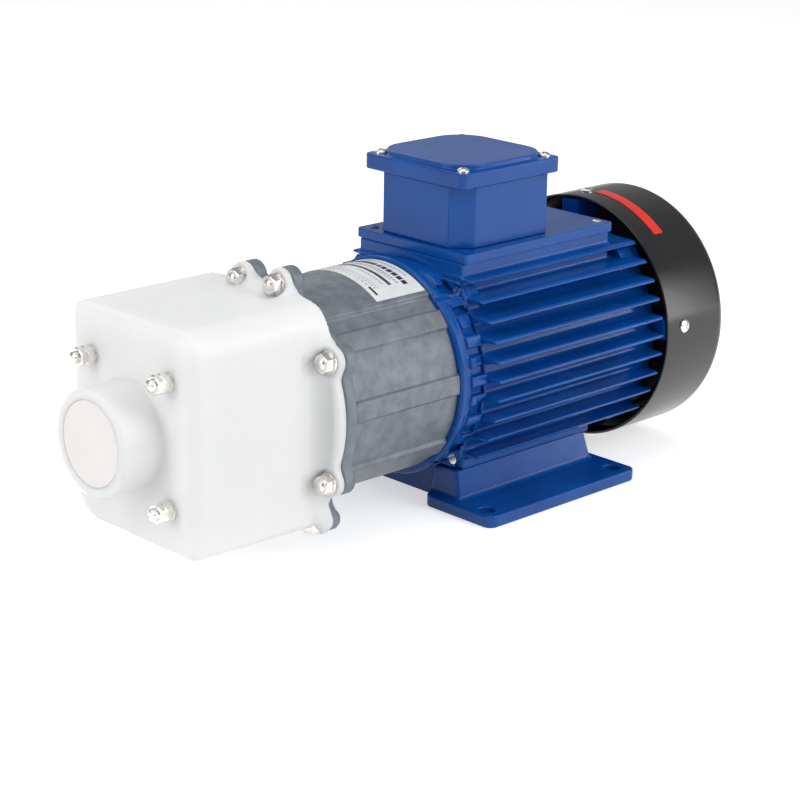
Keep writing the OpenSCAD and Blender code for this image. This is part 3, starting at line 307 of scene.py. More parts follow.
def surface_of(field, xs, ys, zs):
    """Points, four-sided faces and outward directions of a field's zero surface."""
    values = field(xs[:, None, None], ys[None, :, None], zs[None, None, :])
    inside = values < 0
    cells = tuple(size - 1 for size in inside.shape)
    filled = sum(inside[i:i + cells[0], j:j + cells[1], k:k + cells[2]].astype(np.int8)
                 for i, j, k in CORNERS)
    crossed = (filled > 0) & (filled < 8)
    number = np.full(cells, -1)
    number[crossed] = np.arange(crossed.sum())
    at = np.nonzero(crossed)
    total, hits = np.zeros((len(at[0]), 3)), np.zeros(len(at[0]))
    for low, high in EDGES:
        start = tuple(c + o for c, o in zip(at, low))
        end = tuple(c + o for c, o in zip(at, high))
        here, there = values[start], values[end]
        cut = (here < 0) != (there < 0)
        share = np.where(cut, here / np.where(cut, here - there, 1), 0)[:, None]
        first = np.stack([xs[start[0]], ys[start[1]], zs[start[2]]], 1)
        last = np.stack([xs[end[0]], ys[end[1]], zs[end[2]]], 1)
        total += (first + (last - first) * share) * cut[:, None]
        hits += cut
    points = total / hits[:, None]
    for _ in range(3):
        push = slope(field, points)
        size = np.maximum((push ** 2).sum(1), 0.25)
        points -= push * np.clip(field(*points.T) / size, -0.6, 0.6)[:, None]
    faces = []
    for axis in range(3):
        one, two = [(1, 2), (2, 0), (0, 1)][axis]
        low = np.take(inside, range(inside.shape[axis] - 1), axis)
        high = np.take(inside, range(1, inside.shape[axis]), axis)
        spot = np.stack(np.nonzero(low != high), 1)
        spot = spot[(spot[:, one] > 0) & (spot[:, one] < cells[one]) & (spot[:, two] > 0) &
                    (spot[:, two] < cells[two])]
        ring = []
        for back_one, back_two in ((1, 1), (0, 1), (0, 0), (1, 0)):
            cell = spot.copy()
            cell[:, one] -= back_one
            cell[:, two] -= back_two
            ring.append(number[tuple(cell.T)])
        ring = np.stack(ring, 1)
        outward = low[tuple(spot.T)]
        faces += [ring[outward], ring[~outward][:, ::-1]]
    push = slope(field, points)
    return points, np.concatenate(faces), push / np.maximum(np.linalg.norm(push, axis=1), 1e-9)[:, None]


def settle(mesh, name, body, slot, *nodes, paint=None):
    """Makes a mesh a piece of the model, with its finish and its body, and hides the CAD nodes it stands
    for.
    """
    piece = bpy.data.objects.new(name, mesh)
    bpy.context.scene.collection.objects.link(piece)
    if not mesh.materials:
        mesh.materials.append(paint or FINISHES[slot])
    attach(piece, body)
    if nodes:
        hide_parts(*nodes)
    return piece


def cast(name, field, xs, ys, zs, body, slot, *nodes):
    points, faces, outward = surface_of(field, xs, ys, zs)
    points[:, 2] = np.maximum(points[:, 2] + AXIS_H, 0)
    mesh = bpy.data.meshes.new(name)
    mesh.from_pydata((points * MM).tolist(), [], faces.tolist())
    mesh.shade_smooth()
    mesh.normals_split_custom_set_from_vertices(outward.tolist())
    return settle(mesh, name, body, slot, *nodes)


def turned(name, profile, body, slot, *nodes, centre=(0, 0, AXIS_H), axis="X", count=128):
    """A closed profile of (along, radius) turned about an axis, as a lathe does."""
    angles = np.linspace(0, 2 * math.pi, count, endpoint=False)
    rows = []
    for along, radius in profile:
        for angle in angles:
            u, v = radius * math.cos(angle), radius * math.sin(angle)
            rows.append((along, u, v) if axis == "X" else (v, along, u))
    rows = (np.array(rows) + np.array(centre)) * MM
    size = len(profile)
    faces = [(a * count + i, a * count + (i + 1) % count, ((a + 1) % size) * count + (i + 1) % count,
              ((a + 1) % size) * count + i) for a in range(size) for i in range(count)]
    mesh = bpy.data.meshes.new(name)
    mesh.from_pydata(rows.tolist(), [], faces)
    tidy_mesh(mesh)
    return settle(mesh, name, body, slot, *nodes)


def tidy_mesh(mesh, angle=35):
    """Merges doubles, turns the faces outwards and keeps only the real edges sharp."""
    work = bmesh.new()
    work.from_mesh(mesh)
    bmesh.ops.remove_doubles(work, verts=work.verts, dist=1e-6)
    bmesh.ops.recalc_face_normals(work, faces=work.faces)
    work.to_mesh(mesh)
    work.free()
    mesh.shade_smooth()
    mesh.set_sharp_from_angle(angle=math.radians(angle))


def prism(outline, low, high):
    """A plain upright block over an outline of (x, y), in millimetres from the shaft axis."""
    mesh = bpy.data.meshes.new("block")
    count = len(outline)
    points = [(x, y, z + AXIS_H) for z in (low, high) for x, y in outline]
    faces = [tuple(reversed(range(count))), tuple(range(count, 2 * count))]
    faces += [(i, (i + 1) % count, count + (i + 1) % count, count + i) for i in range(count)]
    mesh.from_pydata((np.array(points) * MM).tolist(), [], faces)
    block = bpy.data.objects.new("block", mesh)
    bpy.context.scene.collection.objects.link(block)
    return block


def sheet_metal(name, base, changes, edge_mm, body, slot, *nodes):
    """A block with others joined or cut, and every real edge rounded."""
    for kind, other in changes:
        step = base.modifiers.new(kind, "BOOLEAN")
        step.operation = kind
        step.object = other
        step.solver = "EXACT"
    bevel = base.modifiers.new("edges", "BEVEL")
    bevel.width = edge_mm * MM
    bevel.segments = 3
    bevel.limit_method = "ANGLE"
    bevel.angle_limit = math.radians(30)
    base.data.shade_smooth()
    weighted = base.modifiers.new("flat_faces", "WEIGHTED_NORMAL")
    weighted.weight = 100
    bpy.context.view_layer.update()
    evaluated = base.evaluated_get(bpy.context.evaluated_depsgraph_get())
    mesh = bpy.data.meshes.new_from_object(evaluated)
    mesh.name = name
    for block in [base] + [other for _, other in changes]:
        bpy.data.objects.remove(block)
    mesh.materials.clear()
    return settle(mesh, name, body, slot, *nodes)


def circle_of(x, y, r, count=32):
    return [(x + r * math.cos(2 * math.pi * i / count), y + r * math.sin(2 * math.pi * i / count))
            for i in range(count)]


# The pump's stations along the shaft and its patterns, as the CAD has them

HEAD_X0, HEAD_X1, STUB_X0 = -252.0, -158.0, -278.3
FLANGE_STUDS = [(-14, 68.5), (16, 66)] + [
    (side * y, z) for side in (-1, 1) for y, z in ((56, 34), (56, -34), (45.5, -60))]
FRONT_STUDS = [(-32.3, -33.5), (-32.3, 36), (28, -33.5), (32.3, 36)]
# Nuts that the head half hides: it keeps no pocket for these
HALF_HIDDEN = [(-45.5, -60), (16, 66)]
FAN_BLADES = 7
SHIELD_SCREWS = [(side * 41, level * 50) for side in (-1, 1) for level in (-1, 1)]
FIN_SHARES = [0.757, 0.622, 0.482, 0.339, 0.188, 0.041, -0.112, -0.282, -0.449, -0.622]


def flange_outline(y, z, low_r):
    outline = np.hypot(y, z) - 65
    for place in FLANGE_STUDS:
        outline = rounded_join(outline, spoke(y, z, place, low_r if place[1] < -50 else 8), 5)
    return outline


def head_field(x, y, z):
    """The milky head: box, flange with its lugs, both stubs, and the space inside."""
    droop = 2.0 + (x + 203) * 0.022
    box = soft_rectangle(y, z + np.where(z < 0, droop, 0), (-50.4, -57.5), (49.6, 62.6), (4, 18, 7, 14))
    soft = 5 + 4 * np.clip((-y - 18) / 24, 0, 1) * np.clip((z + 56) / 16, 0, 1)
    solid = rounded_common(box, HEAD_X0 - x, soft)
    solid = np.maximum(solid, x - (HEAD_X1 - 1))
    flange = rounded_common(flange_outline(y, z, 6), between(x, HEAD_X1 - 5, HEAD_X1), 1.3)
    solid = rounded_join(solid, flange, 9)
    r = np.hypot(y, z)
    solid = rounded_join(solid, rounded_common(r - 29, between(x, STUB_X0, HEAD_X0 + 4), 2.2), 2.5)
    outlet = np.hypot(x + 200, z - 14)
    solid = rounded_join(solid, rounded_common(outlet - 20, between(y, 40, 66), 2), 3)
    for place in [spot for spot in FLANGE_STUDS if spot not in HALF_HIDDEN]:
        pocket = np.maximum(np.hypot(y - place[0], z - place[1]) - 7.3, between(x, -177, -163))
        solid = rounded_cut(solid, pocket, 1.8)
    inner = np.maximum(soft_rectangle(y, z, (-41, -50.5), (41, 55.6), (10, 10, 10, 10)),
                       between(x, -245, -170))
    mouth = np.maximum(soft_rectangle(y, z, (-41, -44), (41, 44), (10, 10, 10, 10)), between(x, -171, -150))
    seat = np.maximum(r - 60.4, -161.2 - x)
    port = np.maximum(r - 23.3, between(x, STUB_X0 - 9, STUB_X0 + 20))
    neck = np.maximum(r - 17.05, between(x, STUB_X0, -244))
    side_port = np.maximum(outlet - 14, between(y, 30, 90))
    hollow = np.minimum.reduce(np.broadcast_arrays(inner, mouth, seat, port, neck, side_port))
    for place in FRONT_STUDS:
        hollow = np.minimum(hollow, np.maximum(np.hypot(y - place[0], z - place[1]) - 3.1, x + 240))
    for place in FLANGE_STUDS:
        hollow = np.minimum(hollow, np.maximum(np.hypot(y - place[0], z - place[1]) - 3.1, -165 - x))
    return rounded_cut(solid, hollow, 0.6)


def bracket_field(x, y, z):
    """The grey cast bracket: a ribbed bell between two flanges, with a boss for each stud."""
    r, turn = np.hypot(y, z), np.degrees(np.arctan2(y, z))
    rise = 0.0
    for middle, half in [(0, 36)] + [(a, 5.5) for a in (51, 87, 127, 180, 233, 273, 309)]:
        off = np.abs((turn - middle + 180) % 360 - 180)
        rise = np.maximum(rise, np.clip((half + 0.8 - off) / 1.6, 0, 1))
    rise = rise * rise * (3 - 2 * rise)
    bell = rounded_common(r - 60 - 2 * rise, between(x, -157, -69), 1.2)
    outline = flange_outline(y, z, 6)
    solid = rounded_join(bell, rounded_common(outline, between(x, -158, -150), 1.6), 4)
    for place in FLANGE_STUDS:
        boss_r = 5 if place[1] < -50 else 6
        boss = rounded_common(np.hypot(y - place[0], z - place[1]) - boss_r, between(x, -155, -148.5), 1)
        solid = rounded_join(solid, boss, 1)
    hollow = np.minimum.reduce(np.broadcast_arrays(
        np.maximum(r - 54, between(x, -150, -77)), np.maximum(r - 45, x + 149), np.maximum(r - 42, -78 - x)))
    for place in FLANGE_STUDS:
        hollow = np.minimum(hollow, np.maximum(np.hypot(y - place[0], z - place[1]) - 3.1, x + 149.5))
    return rounded_cut(solid, hollow, 0.8)


def corner_lug(y, z):
    """Distance to the four corner lugs that the motor's shields are screwed to."""
    across, up = np.abs(y), np.abs(z)
    return np.maximum.reduce(np.broadcast_arrays(
        up - 55.4, (across - 41.7) * 0.801 + (up - 55.4) * 0.598,
        (across - 47.9) * 0.994 - (up - 47.2) * 0.105))


def shield_field(x, y, z):
    """The motor's front shield: a rim with notches and ears, a web, a bearing seat and screw bosses."""
    r, turn = np.hypot(y, z), np.arctan2(y, z)
    blocks = np.minimum.reduce(np.broadcast_arrays(*[np.abs(z - share * 74) for share in FIN_SHARES])) - 3.1
    bead = rounded_common(r - 64, between(x, -69, -65.2), 1.2)
    blocks = rounded_common(rounded_common(r - 64, blocks, 0.8), between(x, -61.5, -50), 0.8)
    rim = rounded_join(np.minimum(bead, blocks), rounded_common(r - 60.2, between(x, -69, -50), 1.3), 0.8)
    rim = np.maximum(rim, 54 - r)
    step = math.pi / 8
    off = (turn % step) - step / 2
    notch = np.maximum.reduce(np.broadcast_arrays(
        np.abs(r * np.sin(off)) - 4.5, 61 - r * np.cos(off), -57 - x))
    rim = rounded_cut(rim, notch, 0.7)
    ear = rounded_common(np.maximum(corner_lug(y, z), 62 - r), between(x, -53, -50), 0.7)
    solid = rounded_join(rim, ear, 0.8)
    web = np.minimum(np.maximum.reduce(np.broadcast_arrays(r - 62, 23.5 - r, between(x, -67, -61))),
                     np.maximum.reduce(np.broadcast_arrays(r - 62, 42 - r, between(x, -69, -61))))
    hub = np.maximum(r - 27.5, between(x, -67, -46))
    spigot = np.maximum.reduce(np.broadcast_arrays(r - 57.95, 54 - r, between(x, -51, -46)))
    solid = rounded_join(solid, np.minimum(web, spigot), 1)
    solid = rounded_join(solid, hub, 2)
    for place in [(a, b) for a in (-34.2, 34.2) for b in (-34.2, 34.2)]:
        away = np.hypot(y - place[0], z - place[1])
        solid = rounded_join(solid, np.maximum(away - 7, between(x, -69, -55)), 1)
        solid = np.maximum(solid, -np.maximum(away - 3.1, x + 57))
    hollow = np.minimum(np.maximum(r - 23.51, -64 - x), r - 10.8)
    for place in SHIELD_SCREWS:
        away = np.hypot(y - place[0], z - place[1])
        hollow = np.minimum(hollow, np.maximum(away - 2.1, x + 40))
        hollow = np.minimum(hollow, np.maximum(away - 3.1, x + 50.8))
    return rounded_cut(solid, hollow, 0.4)


def frame_field(x, y, z):
    """The finned motor frame with its pads and corner lugs."""
    r = np.hypot(y, z)
    fins = np.minimum.reduce(np.broadcast_arrays(*[np.abs(z - share * 74) for share in FIN_SHARES]))
    fins = rounded_common(fins - 1.05 - 0.07 * np.clip(74 - r, 0, 12), r - 74, 0.9)
    shell = rounded_common(rounded_join(r - 62, fins, 2.2), between(x, -50, 93), 1.1)
    pad = rounded_common(np.maximum(np.abs(y) - 42, -z), z - 65, 1)
    shell = rounded_join(shell, rounded_common(pad, between(x, -50, 75), 1), 2)
    sole = rounded_common(np.abs(np.abs(y) - 37.5) - 9.5, between(z, -56, 0), 1)
    shell = rounded_join(shell, rounded_common(sole, between(x, -50, 59), 1), 2)
    lugs = rounded_common(corner_lug(y, z), np.minimum(between(x, -49.9, -41), between(x, 81, 92.95)), 1)
    shell = rounded_join(shell, lugs, 1.2)
    hollow = r - 58
    for place in SHIELD_SCREWS:
        away = np.hypot(y - place[0], z - place[1])
        hollow = np.minimum(hollow, np.maximum(away - 2.1, between(x, -42, 85) * -1))
    return rounded_cut(shell, hollow, 0.6)


def feet_field(x, y, z):
    """Both feet and the web that joins them in front, under the barrel."""
    high = z + AXIS_H
    across = np.abs(y)
    plate = soft_rectangle(x, across, (-62, 26.5), (65, 81), (6, 6, 6, 6))
    plate = rounded_common(plate, between(high, 0, 7.5), 1.3)
    rise = np.clip((high - 7.5) / 16.5, 0, 1)
    riser = np.maximum.reduce(np.broadcast_arrays(across - 50.6 + 4.4 * rise, 26.5 - across))
    riser = rounded_common(riser, np.maximum(-56.3 + 2.3 * rise - x, x - 57.8 + 2.3 * rise), 2)
    riser = rounded_common(riser, between(high, 0, 24), 0.6)
    solid = rounded_join(plate, riser, 2.5)
    web = np.maximum.reduce(np.broadcast_arrays(across - 28, between(high, 2.5, 24), between(x, -50, -44)))
    solid = rounded_join(solid, web, 1.5)
    r = np.hypot(y, z)
    solid = np.maximum(solid, 62.1 - r)
    solid = np.maximum(solid, -np.maximum(r - 64.1, x + 50))
    for side in (-54, 54):
        solid = rounded_cut(solid, np.hypot(x - side, across - 70) - 5, 0.8)
    for side in (-36, 36):
        away = np.hypot(x - side, across - 38)
        solid = np.maximum(solid, -np.maximum(away - 5.1, high - 7))
        solid = np.maximum(solid, 3.1 - away)
    return solid


def cast_pieces():
    cast("head", head_field, stations((-281, -249, 1.2), (-249, -180, 1.6), (-180, -155.5, 1.1)),
         stations((-69, 69, 1.25)), stations((-70, 80, 1.25)), "body", "head_plastic", "casing")
    cast("bracket_bell", bracket_field, stations((-160, -143, 1), (-143, -74, 2.4), (-74, -67, 1)),
         stations((-69, 69, 1.1)), stations((-70, 80, 1.1)), "body", "bracket_grey", "bracket")
    cast("shield_rim", shield_field, stations((-71, -44, 0.9)), stations((-67, 67, 0.95)),
         stations((-67, 67, 0.95)), "body", "motor_blue", "front_shield")
    cast("finned_frame", frame_field, stations((-52, -39, 1), (-39, 46, 6), (46, 52, 1), (52, 72, 5),
                                               (72, 77, 1), (77, 80, 1.5), (80, 95, 0.9)),
         stations((-76, 76, 1.15)), stations((-64, 67, 0.85)), "body", "motor_blue", "motor_frame")
    cast("cradle_feet", feet_field, stations((-64, 67, 1.3)), stations((-83, -24, 0.9), (-24, 24, 4),
                                                                       (24, 83, 0.9)),
         stations((-82, -54, 0.8)), "body", "motor_blue", "feet")


# Terminal box, fan cover, plugs and label

def box_plan(centre, half, front_cut, rear_cut):
    """A square with its front and rear corners cut off at 45 degrees."""
    x0, x1 = centre - half, centre + half
    return [(x1, -half + rear_cut), (x1, half - rear_cut), (x1 - rear_cut, half), (x0 + front_cut, half),
            (x0, half - front_cut), (x0, -half + front_cut), (x0 + front_cut, -half), (x1 - rear_cut, -half)]


def round_rectangle(low, high, r, steps=6):
    outline = []
    for cx, cy, start in ((high[0] - r, high[1] - r, 0), (low[0] + r, high[1] - r, 90),
                          (low[0] + r, low[1] + r, 180), (high[0] - r, low[1] + r, 270)):
        for i in range(steps + 1):
            angle = math.radians(start + 90 * i / steps)
            outline.append((cx + r * math.cos(angle), cy + r * math.sin(angle)))
    return outline


BOX_MID, SCREW_OFF = -8.9, 33.4
LID_SCREWS = [(BOX_MID + a * SCREW_OFF, b * SCREW_OFF) for a in (-1, 1) for b in (-1, 1)]


def terminal_pieces():
    lid = prism(round_rectangle((-49.3, -40.4), (31.5, 40.4), 4), 106.6, 115.6)
    sheet_metal("lid_of_terminal_box", lid, [
        ("UNION", prism(round_rectangle((BOX_MID - 37, -37), (BOX_MID + 37, 37), 21, 12), 112, 118.6)),
        ("DIFFERENCE", prism(box_plan(BOX_MID, 34.2, 10.6, 4.5), 100, 111.6))],
        0.9, "body", "motor_blue", "terminal_lid")
    box = prism(box_plan(BOX_MID, 37.2, 10.6, 4.5), 70.75, 106.1)
    sheet_metal("wall_of_terminal_box", box, [
        ("DIFFERENCE", prism(box_plan(BOX_MID, 34.2, 10.6, 4.5), 73.7, 120)),
        ("DIFFERENCE", prism(circle_of(BOX_MID, 0, 9), 60, 80))], 0.7, "body", "motor_blue", "terminal_box")
    base = prism(round_rectangle((-50, -44.7), (75, 44.7), 2), 65.02, 70.7)
    sheet_metal("plate_of_terminal_box", base, [("DIFFERENCE", prism(circle_of(BOX_MID, 0, 9), 60, 80))],
                0.8, "body", "motor_blue", "terminal_base")


def bend(centre, radius, start, end, steps=10):
    """Profile points (along, radius) round a bend, from one angle to another in degrees."""
    return [(centre[0] + radius * math.cos(math.radians(start + (end - start) * i / steps)),
             centre[1] + radius * math.sin(math.radians(start + (end - start) * i / steps)))
            for i in range(steps + 1)]


def turned_pieces():
    cover = [(94, 74.6), (94, 75.5), (94.5, 76)] + bend((142, 67), 9, 90, 0, 16)
    cover += [(151, 59.6), (150.8, 59.2), (149.6, 59.2), (149.4, 59.6)] + bend((142, 67), 7.4, 0, 90, 16)
    cover += [(94.3, 74.4)]
    turned("shell_of_fan_cover", cover, "body", "cover_black", count=192)
    plug = [(STUB_X0 + 0.4, 0.0)] + [(STUB_X0 + 0.4, r) for r in (6, 12, 18, 22)]
    plug += bend((STUB_X0 + 1.1, 22.55), 0.7, 180, 90, 6)
    plug += [(STUB_X0 + 12.2, 23.25), (STUB_X0 + 12.4, 23.05)]
    plug += [(STUB_X0 + 12.4, 20.4), (STUB_X0 + 3.6, 20.2), (STUB_X0 + 3.4, 20), (STUB_X0 + 3.4, 0.0)]
    turned("front_port_plug", plug, "suction_cap", "port_cap_plastic", "suction_plug", count=96)
    face = 66 - 0.4
    plug = [(face, 0.0), (face, 6), (face, 12.8), (face - 0.2, 13.6), (face - 0.7, 13.95)]
    plug += [(face - 11.8, 13.95), (face - 12, 13.75), (face - 12, 11.1), (face - 3.2, 10.95),
             (face - 3, 10.8),
             (face - 3, 0.0)]
    turned("side_port_plug", plug, "discharge_cap", "port_cap_plastic", "discharge_plug",
           centre=(-200, 0, AXIS_H + 14), axis="Y", count=80)


def cooling_fan():
    """The fan: a hub, a dished disc with a rolled rim, and flat blades behind it."""
    hub_and_disc = [(106, 8.9), (106, 13.6), (106.4, 14), (113.4, 14), (114, 14.6), (114, 60)]
    hub_and_disc += bend((117.5, 61), 3.5, 180, 90, 6) + [(121.5, 64.5), (121.8, 64.1), (121.5, 63.7)]
    hub_and_disc += bend((117.6, 62.6), 1.1, 90, 180, 4)
    hub_and_disc += [(116.5, 14.6), (117, 14), (129.6, 14), (130, 13.6)]
    hub_and_disc += [(130, 8.9), (129.7, 8.6), (106.3, 8.6)]
    turned("fan_hub_and_disc", hub_and_disc, "rotor", "fan_plastic", "cooling_fan")
    outline = [(115, 13.8), (115, 58), (131.5, 58), (134, 55.5), (134, 13.8)]
    count, points, faces = len(outline), [], []
    for turn in [2 * math.pi * i / FAN_BLADES for i in range(FAN_BLADES)]:
        first = len(points)
        points += [(x * MM, (side * math.cos(turn) - r * math.sin(turn)) * MM,
                    (side * math.sin(turn) + r * math.cos(turn) + AXIS_H) * MM)
                   for side in (-1.1, 1.1) for x, r in outline]
        faces += [[first + i for i in range(count)], [first + count + i for i in reversed(range(count))]]
        faces += [[first + (i + 1) % count, first + i, first + count + i, first + count + (i + 1) % count]
                  for i in range(count)]
    mesh = bpy.data.meshes.new("fan_blades")
    mesh.from_pydata(points, [], faces)
    tidy_mesh(mesh, 40)
    settle(mesh, "fan_blades", "rotor", "fan_plastic", "cooling_fan")


def wrapped_patch(x0, x1, turn0, turn1, r0, r1):
    """A thin plate bent round the shaft axis: corners of its grid, and its faces."""
    count = max(2, int(abs(turn1 - turn0) / 1.5) + 1)
    angles = np.radians(np.linspace(turn0, turn1, count))
    rows = [[(x, r * math.sin(a), r * math.cos(a) + AXIS_H) for a in angles]
            for x, r in ((x0, r0), (x1, r0), (x1, r1), (x0, r1))]
    points = [p for row in rows for p in row]
    faces = [(a * count + i, a * count + i + 1, ((a + 1) % 4) * count + i + 1, ((a + 1) % 4) * count + i)
             for a in range(4) for i in range(count - 1)]
    faces += [(0, count, 2 * count, 3 * count), (4 * count - 1, 3 * count - 1, 2 * count - 1, count - 1)]
    return points, faces


# Rows of plain dashes on the label: place along the shaft and half width, start and end in degrees,
# length of a dash and of the gap after it, and dark or pale
LABEL_ROWS = [
    (-73.9, 0.45, -20, 14, 1.5, 0.8, 0), (-75.4, 0.4, -12, 8, 1.2, 0.7, 0),
    (-79.6, 1.7, -26, -4, 3.4, 0.9, 1), (-79.6, 1.7, -3, 25, 6.0, 0.4, 1), (-79.6, 0.4, -3, 25, 40, 1, 1),
    (-84.2, 0.7, -24, 24, 1.6, 0.7, 0), (-86.2, 0.5, -20, 20, 1.1, 0.9, 0),
    (-90.0, 1.2, -24, 26, 1.0, 0.25, 1), (-90.0, 0.5, -24, 26, 60, 1, 1),
    (-94.2, 0.5, -22, -2, 1.3, 0.8, 0), (-94.2, 0.6, 6, 20, 1.3, 0.8, 0), (-96.0, 0.4, 6, 16, 1.0, 0.8, 0),
    (-99.4, 0.16, -25, 26, 60, 1, 0), (-101.4, 0.5, -24, 22, 1.0, 1.6, 0),
    (-103.8, 0.45, -20, 18, 1.4, 1.9, 0),
    (-104.2, 0.8, -29, -22, 9, 1, 1)]


def label_dashes():
    """The rows' dashes, each with its ends along the shaft and its start and end in degrees."""
    radius = 62.5
    for x, half, start, end, dash, gap, dark in LABEL_ROWS:
        turn, step = start, math.degrees((dash + gap) / radius)
        while turn < end:
            yield x - half, x + half, turn, min(turn + math.degrees(dash / radius), end), dark
            turn += step


def label():
    points, faces, paints = [], [], []
    patches = [(-107.9, -71.1, -32.9, 32.9, 62.08, 62.42, 0)]
    patches += [(x0, x1, a, b, 62.4, 62.48, 2 - dark) for x0, x1, a, b, dark in label_dashes()]
    for x0, x1, a, b, r0, r1, paint in patches:
        more, sides = wrapped_patch(x0, x1, a, b, r0, r1)
        faces += [tuple(len(points) + i for i in side) for side in sides]
        paints += [paint] * len(sides)
        points += more
    mesh = bpy.data.meshes.new("label")
    mesh.from_pydata((np.array(points) * MM).tolist(), [], faces)
    for paint in (FINISHES["label_foil"], finish("label_dark_bars", (0.05, 0.05, 0.055),
                                                        (0.03, 0.03, 0.034), 90),
                  finish("label_pale_bars", (0.42, 0.42, 0.44), (0.36, 0.36, 0.38), 90)):
        mesh.materials.append(paint)
    mesh.polygons.foreach_set("material_index", paints)
    tidy_mesh(mesh)
    settle(mesh, "label", "body", "label_foil", "label_plate")


# Fasteners and the grille, each made by a tree of Geometry Nodes with named sizes in metres

class Recipe:
    """A Geometry Nodes tree with an input for each size."""

    def __init__(self, name, sizes):
        self.tree = bpy.data.node_groups.new(name, "GeometryNodeTree")
        face = self.tree.interface
        face.new_socket(name="Geometry", in_out="INPUT", socket_type="NodeSocketGeometry")
        face.new_socket(name="Geometry", in_out="OUTPUT", socket_type="NodeSocketGeometry")
        self.keys = {}
        for label_text, value in sizes.items():
            socket = face.new_socket(name=label_text, in_out="INPUT", socket_type="NodeSocketFloat")
            socket.default_value = value
            self.keys[label_text] = socket.identifier
        self.start = self.tree.nodes.new("NodeGroupInput")
        self.end = self.tree.nodes.new("NodeGroupOutput")

    def size(self, label_text):
        return self.start.outputs[label_text]

    def feed(self, socket, value):
        if isinstance(value, bpy.types.NodeSocket):
            self.tree.links.new(value, socket)
        else:
            socket.default_value = value

    def add(self, kind, settings=None, **inputs):
        node = self.tree.nodes.new(kind)
        for key, value in (settings or {}).items():
            setattr(node, key, value)
        for key, value in inputs.items():
            self.feed(node.inputs[key.replace("_", " ")], value)
        return node.outputs[0]

    def math(self, operation, first, second):
        node = self.tree.nodes.new("ShaderNodeMath")
        node.operation = operation
        self.feed(node.inputs[0], first)
        self.feed(node.inputs[1], second)
        return node.outputs[0]

    def vector(self, x=0.0, y=0.0, z=0.0):
        return self.add("ShaderNodeCombineXYZ", X=x, Y=y, Z=z)

    def moved(self, shape, shift=None, scale=None, turn=None):
        inputs = {"Geometry": shape}
        if shift is not None:
            inputs["Translation"] = shift
        if scale is not None:
            inputs["Scale"] = scale
        if turn is not None:
            inputs["Rotation"] = turn
        return self.add("GeometryNodeTransform", None, **inputs)

    def drum(self, radius, low, high, sides=40):
        depth = self.math("SUBTRACT", high, low)
        shape = self.add("GeometryNodeMeshCylinder", None, Vertices=sides, Radius=radius, Depth=depth)
        middle = self.math("MULTIPLY", self.math("ADD", low, high), 0.5)
        return self.moved(shape, self.vector(0.0, 0.0, middle))

    def solid(self, operation, *shapes):
        node = self.tree.nodes.new("GeometryNodeMeshBoolean")
        node.operation = operation
        node.solver = "EXACT"
        if operation == "DIFFERENCE":
            self.tree.links.new(shapes[0], node.inputs[0])
            shapes = shapes[1:]
        for shape in shapes:
            self.tree.links.new(shape, node.inputs[1])
        return node.outputs[0]

    def spread(self, shape, paint):
        """Puts the shape on every point of the input, facing the way that the point says."""
        facing = self.add("GeometryNodeInputNamedAttribute", {"data_type": "FLOAT_VECTOR"}, Name="facing")
        turn = self.add("FunctionNodeAlignRotationToVector", {"axis": "Z"}, Vector=facing)
        points = self.add("GeometryNodeMeshToPoints", None, Mesh=self.start.outputs["Geometry"])
        spread = self.add("GeometryNodeInstanceOnPoints", None, Points=points, Instance=shape, Rotation=turn)
        self.finish(spread, paint)

    def finish(self, shape, paint):
        real = self.add("GeometryNodeRealizeInstances", None, Geometry=shape)
        painted = self.add("GeometryNodeSetMaterial", None, Geometry=real, Material=paint)
        self.tree.links.new(painted, self.end.inputs["Geometry"])


def grown(recipe, name, sizes, places, facing, body, slot, *nodes, angle=30):
    """The recipe's fasteners at some places, in millimetres from the shaft axis, as one plain mesh."""
    mesh = bpy.data.meshes.new(name + "_places")
    mesh.from_pydata([(x * MM, y * MM, (z + AXIS_H) * MM) for x, y, z in places], [], [])
    if callable(facing):
        ways = [facing(*place) for place in places]
    else:
        ways = [facing] * len(places)
    mesh.attributes.new("facing", "FLOAT_VECTOR", "POINT").data.foreach_set("vector", np.ravel(ways))
    holder = bpy.data.objects.new(name + "_places", mesh)
    bpy.context.scene.collection.objects.link(holder)
    step = holder.modifiers.new("recipe", "NODES")
    step.node_group = recipe.tree
    for label_text, value in sizes.items():
        step[recipe.keys[label_text]] = value * MM
    bpy.context.view_layer.update()
    made = bpy.data.meshes.new_from_object(holder.evaluated_get(bpy.context.evaluated_depsgraph_get()))
    bpy.data.objects.remove(holder)
    made.name = name
    tidy_mesh(made, angle)
    return settle(made, name, body, slot, *nodes)


def hex_nut_recipe():
    """A hexagon nut, its corners chamfered at both faces; it stands on its place."""
    recipe = Recipe("hex_nut", {"Across flats": 0.01, "Height": 0.005})
    flats, height = recipe.size("Across flats"), recipe.size("Height")
    body = recipe.drum(recipe.math("MULTIPLY", flats, 0.5774), 0.0, height, 6)
    small = recipe.math("MULTIPLY", flats, 0.47)
    wide = recipe.math("ADD", small, recipe.math("MULTIPLY", height, 1.73))
    upper = recipe.add("GeometryNodeMeshCone", None, Vertices=48, Radius_Top=small, Radius_Bottom=wide,
                       Depth=height)
    lower = recipe.add("GeometryNodeMeshCone", None, Vertices=48, Radius_Top=wide, Radius_Bottom=small,
                       Depth=height)
    recipe.spread(recipe.solid("INTERSECT", body, upper, lower), FINISHES["stainless"])
    return recipe


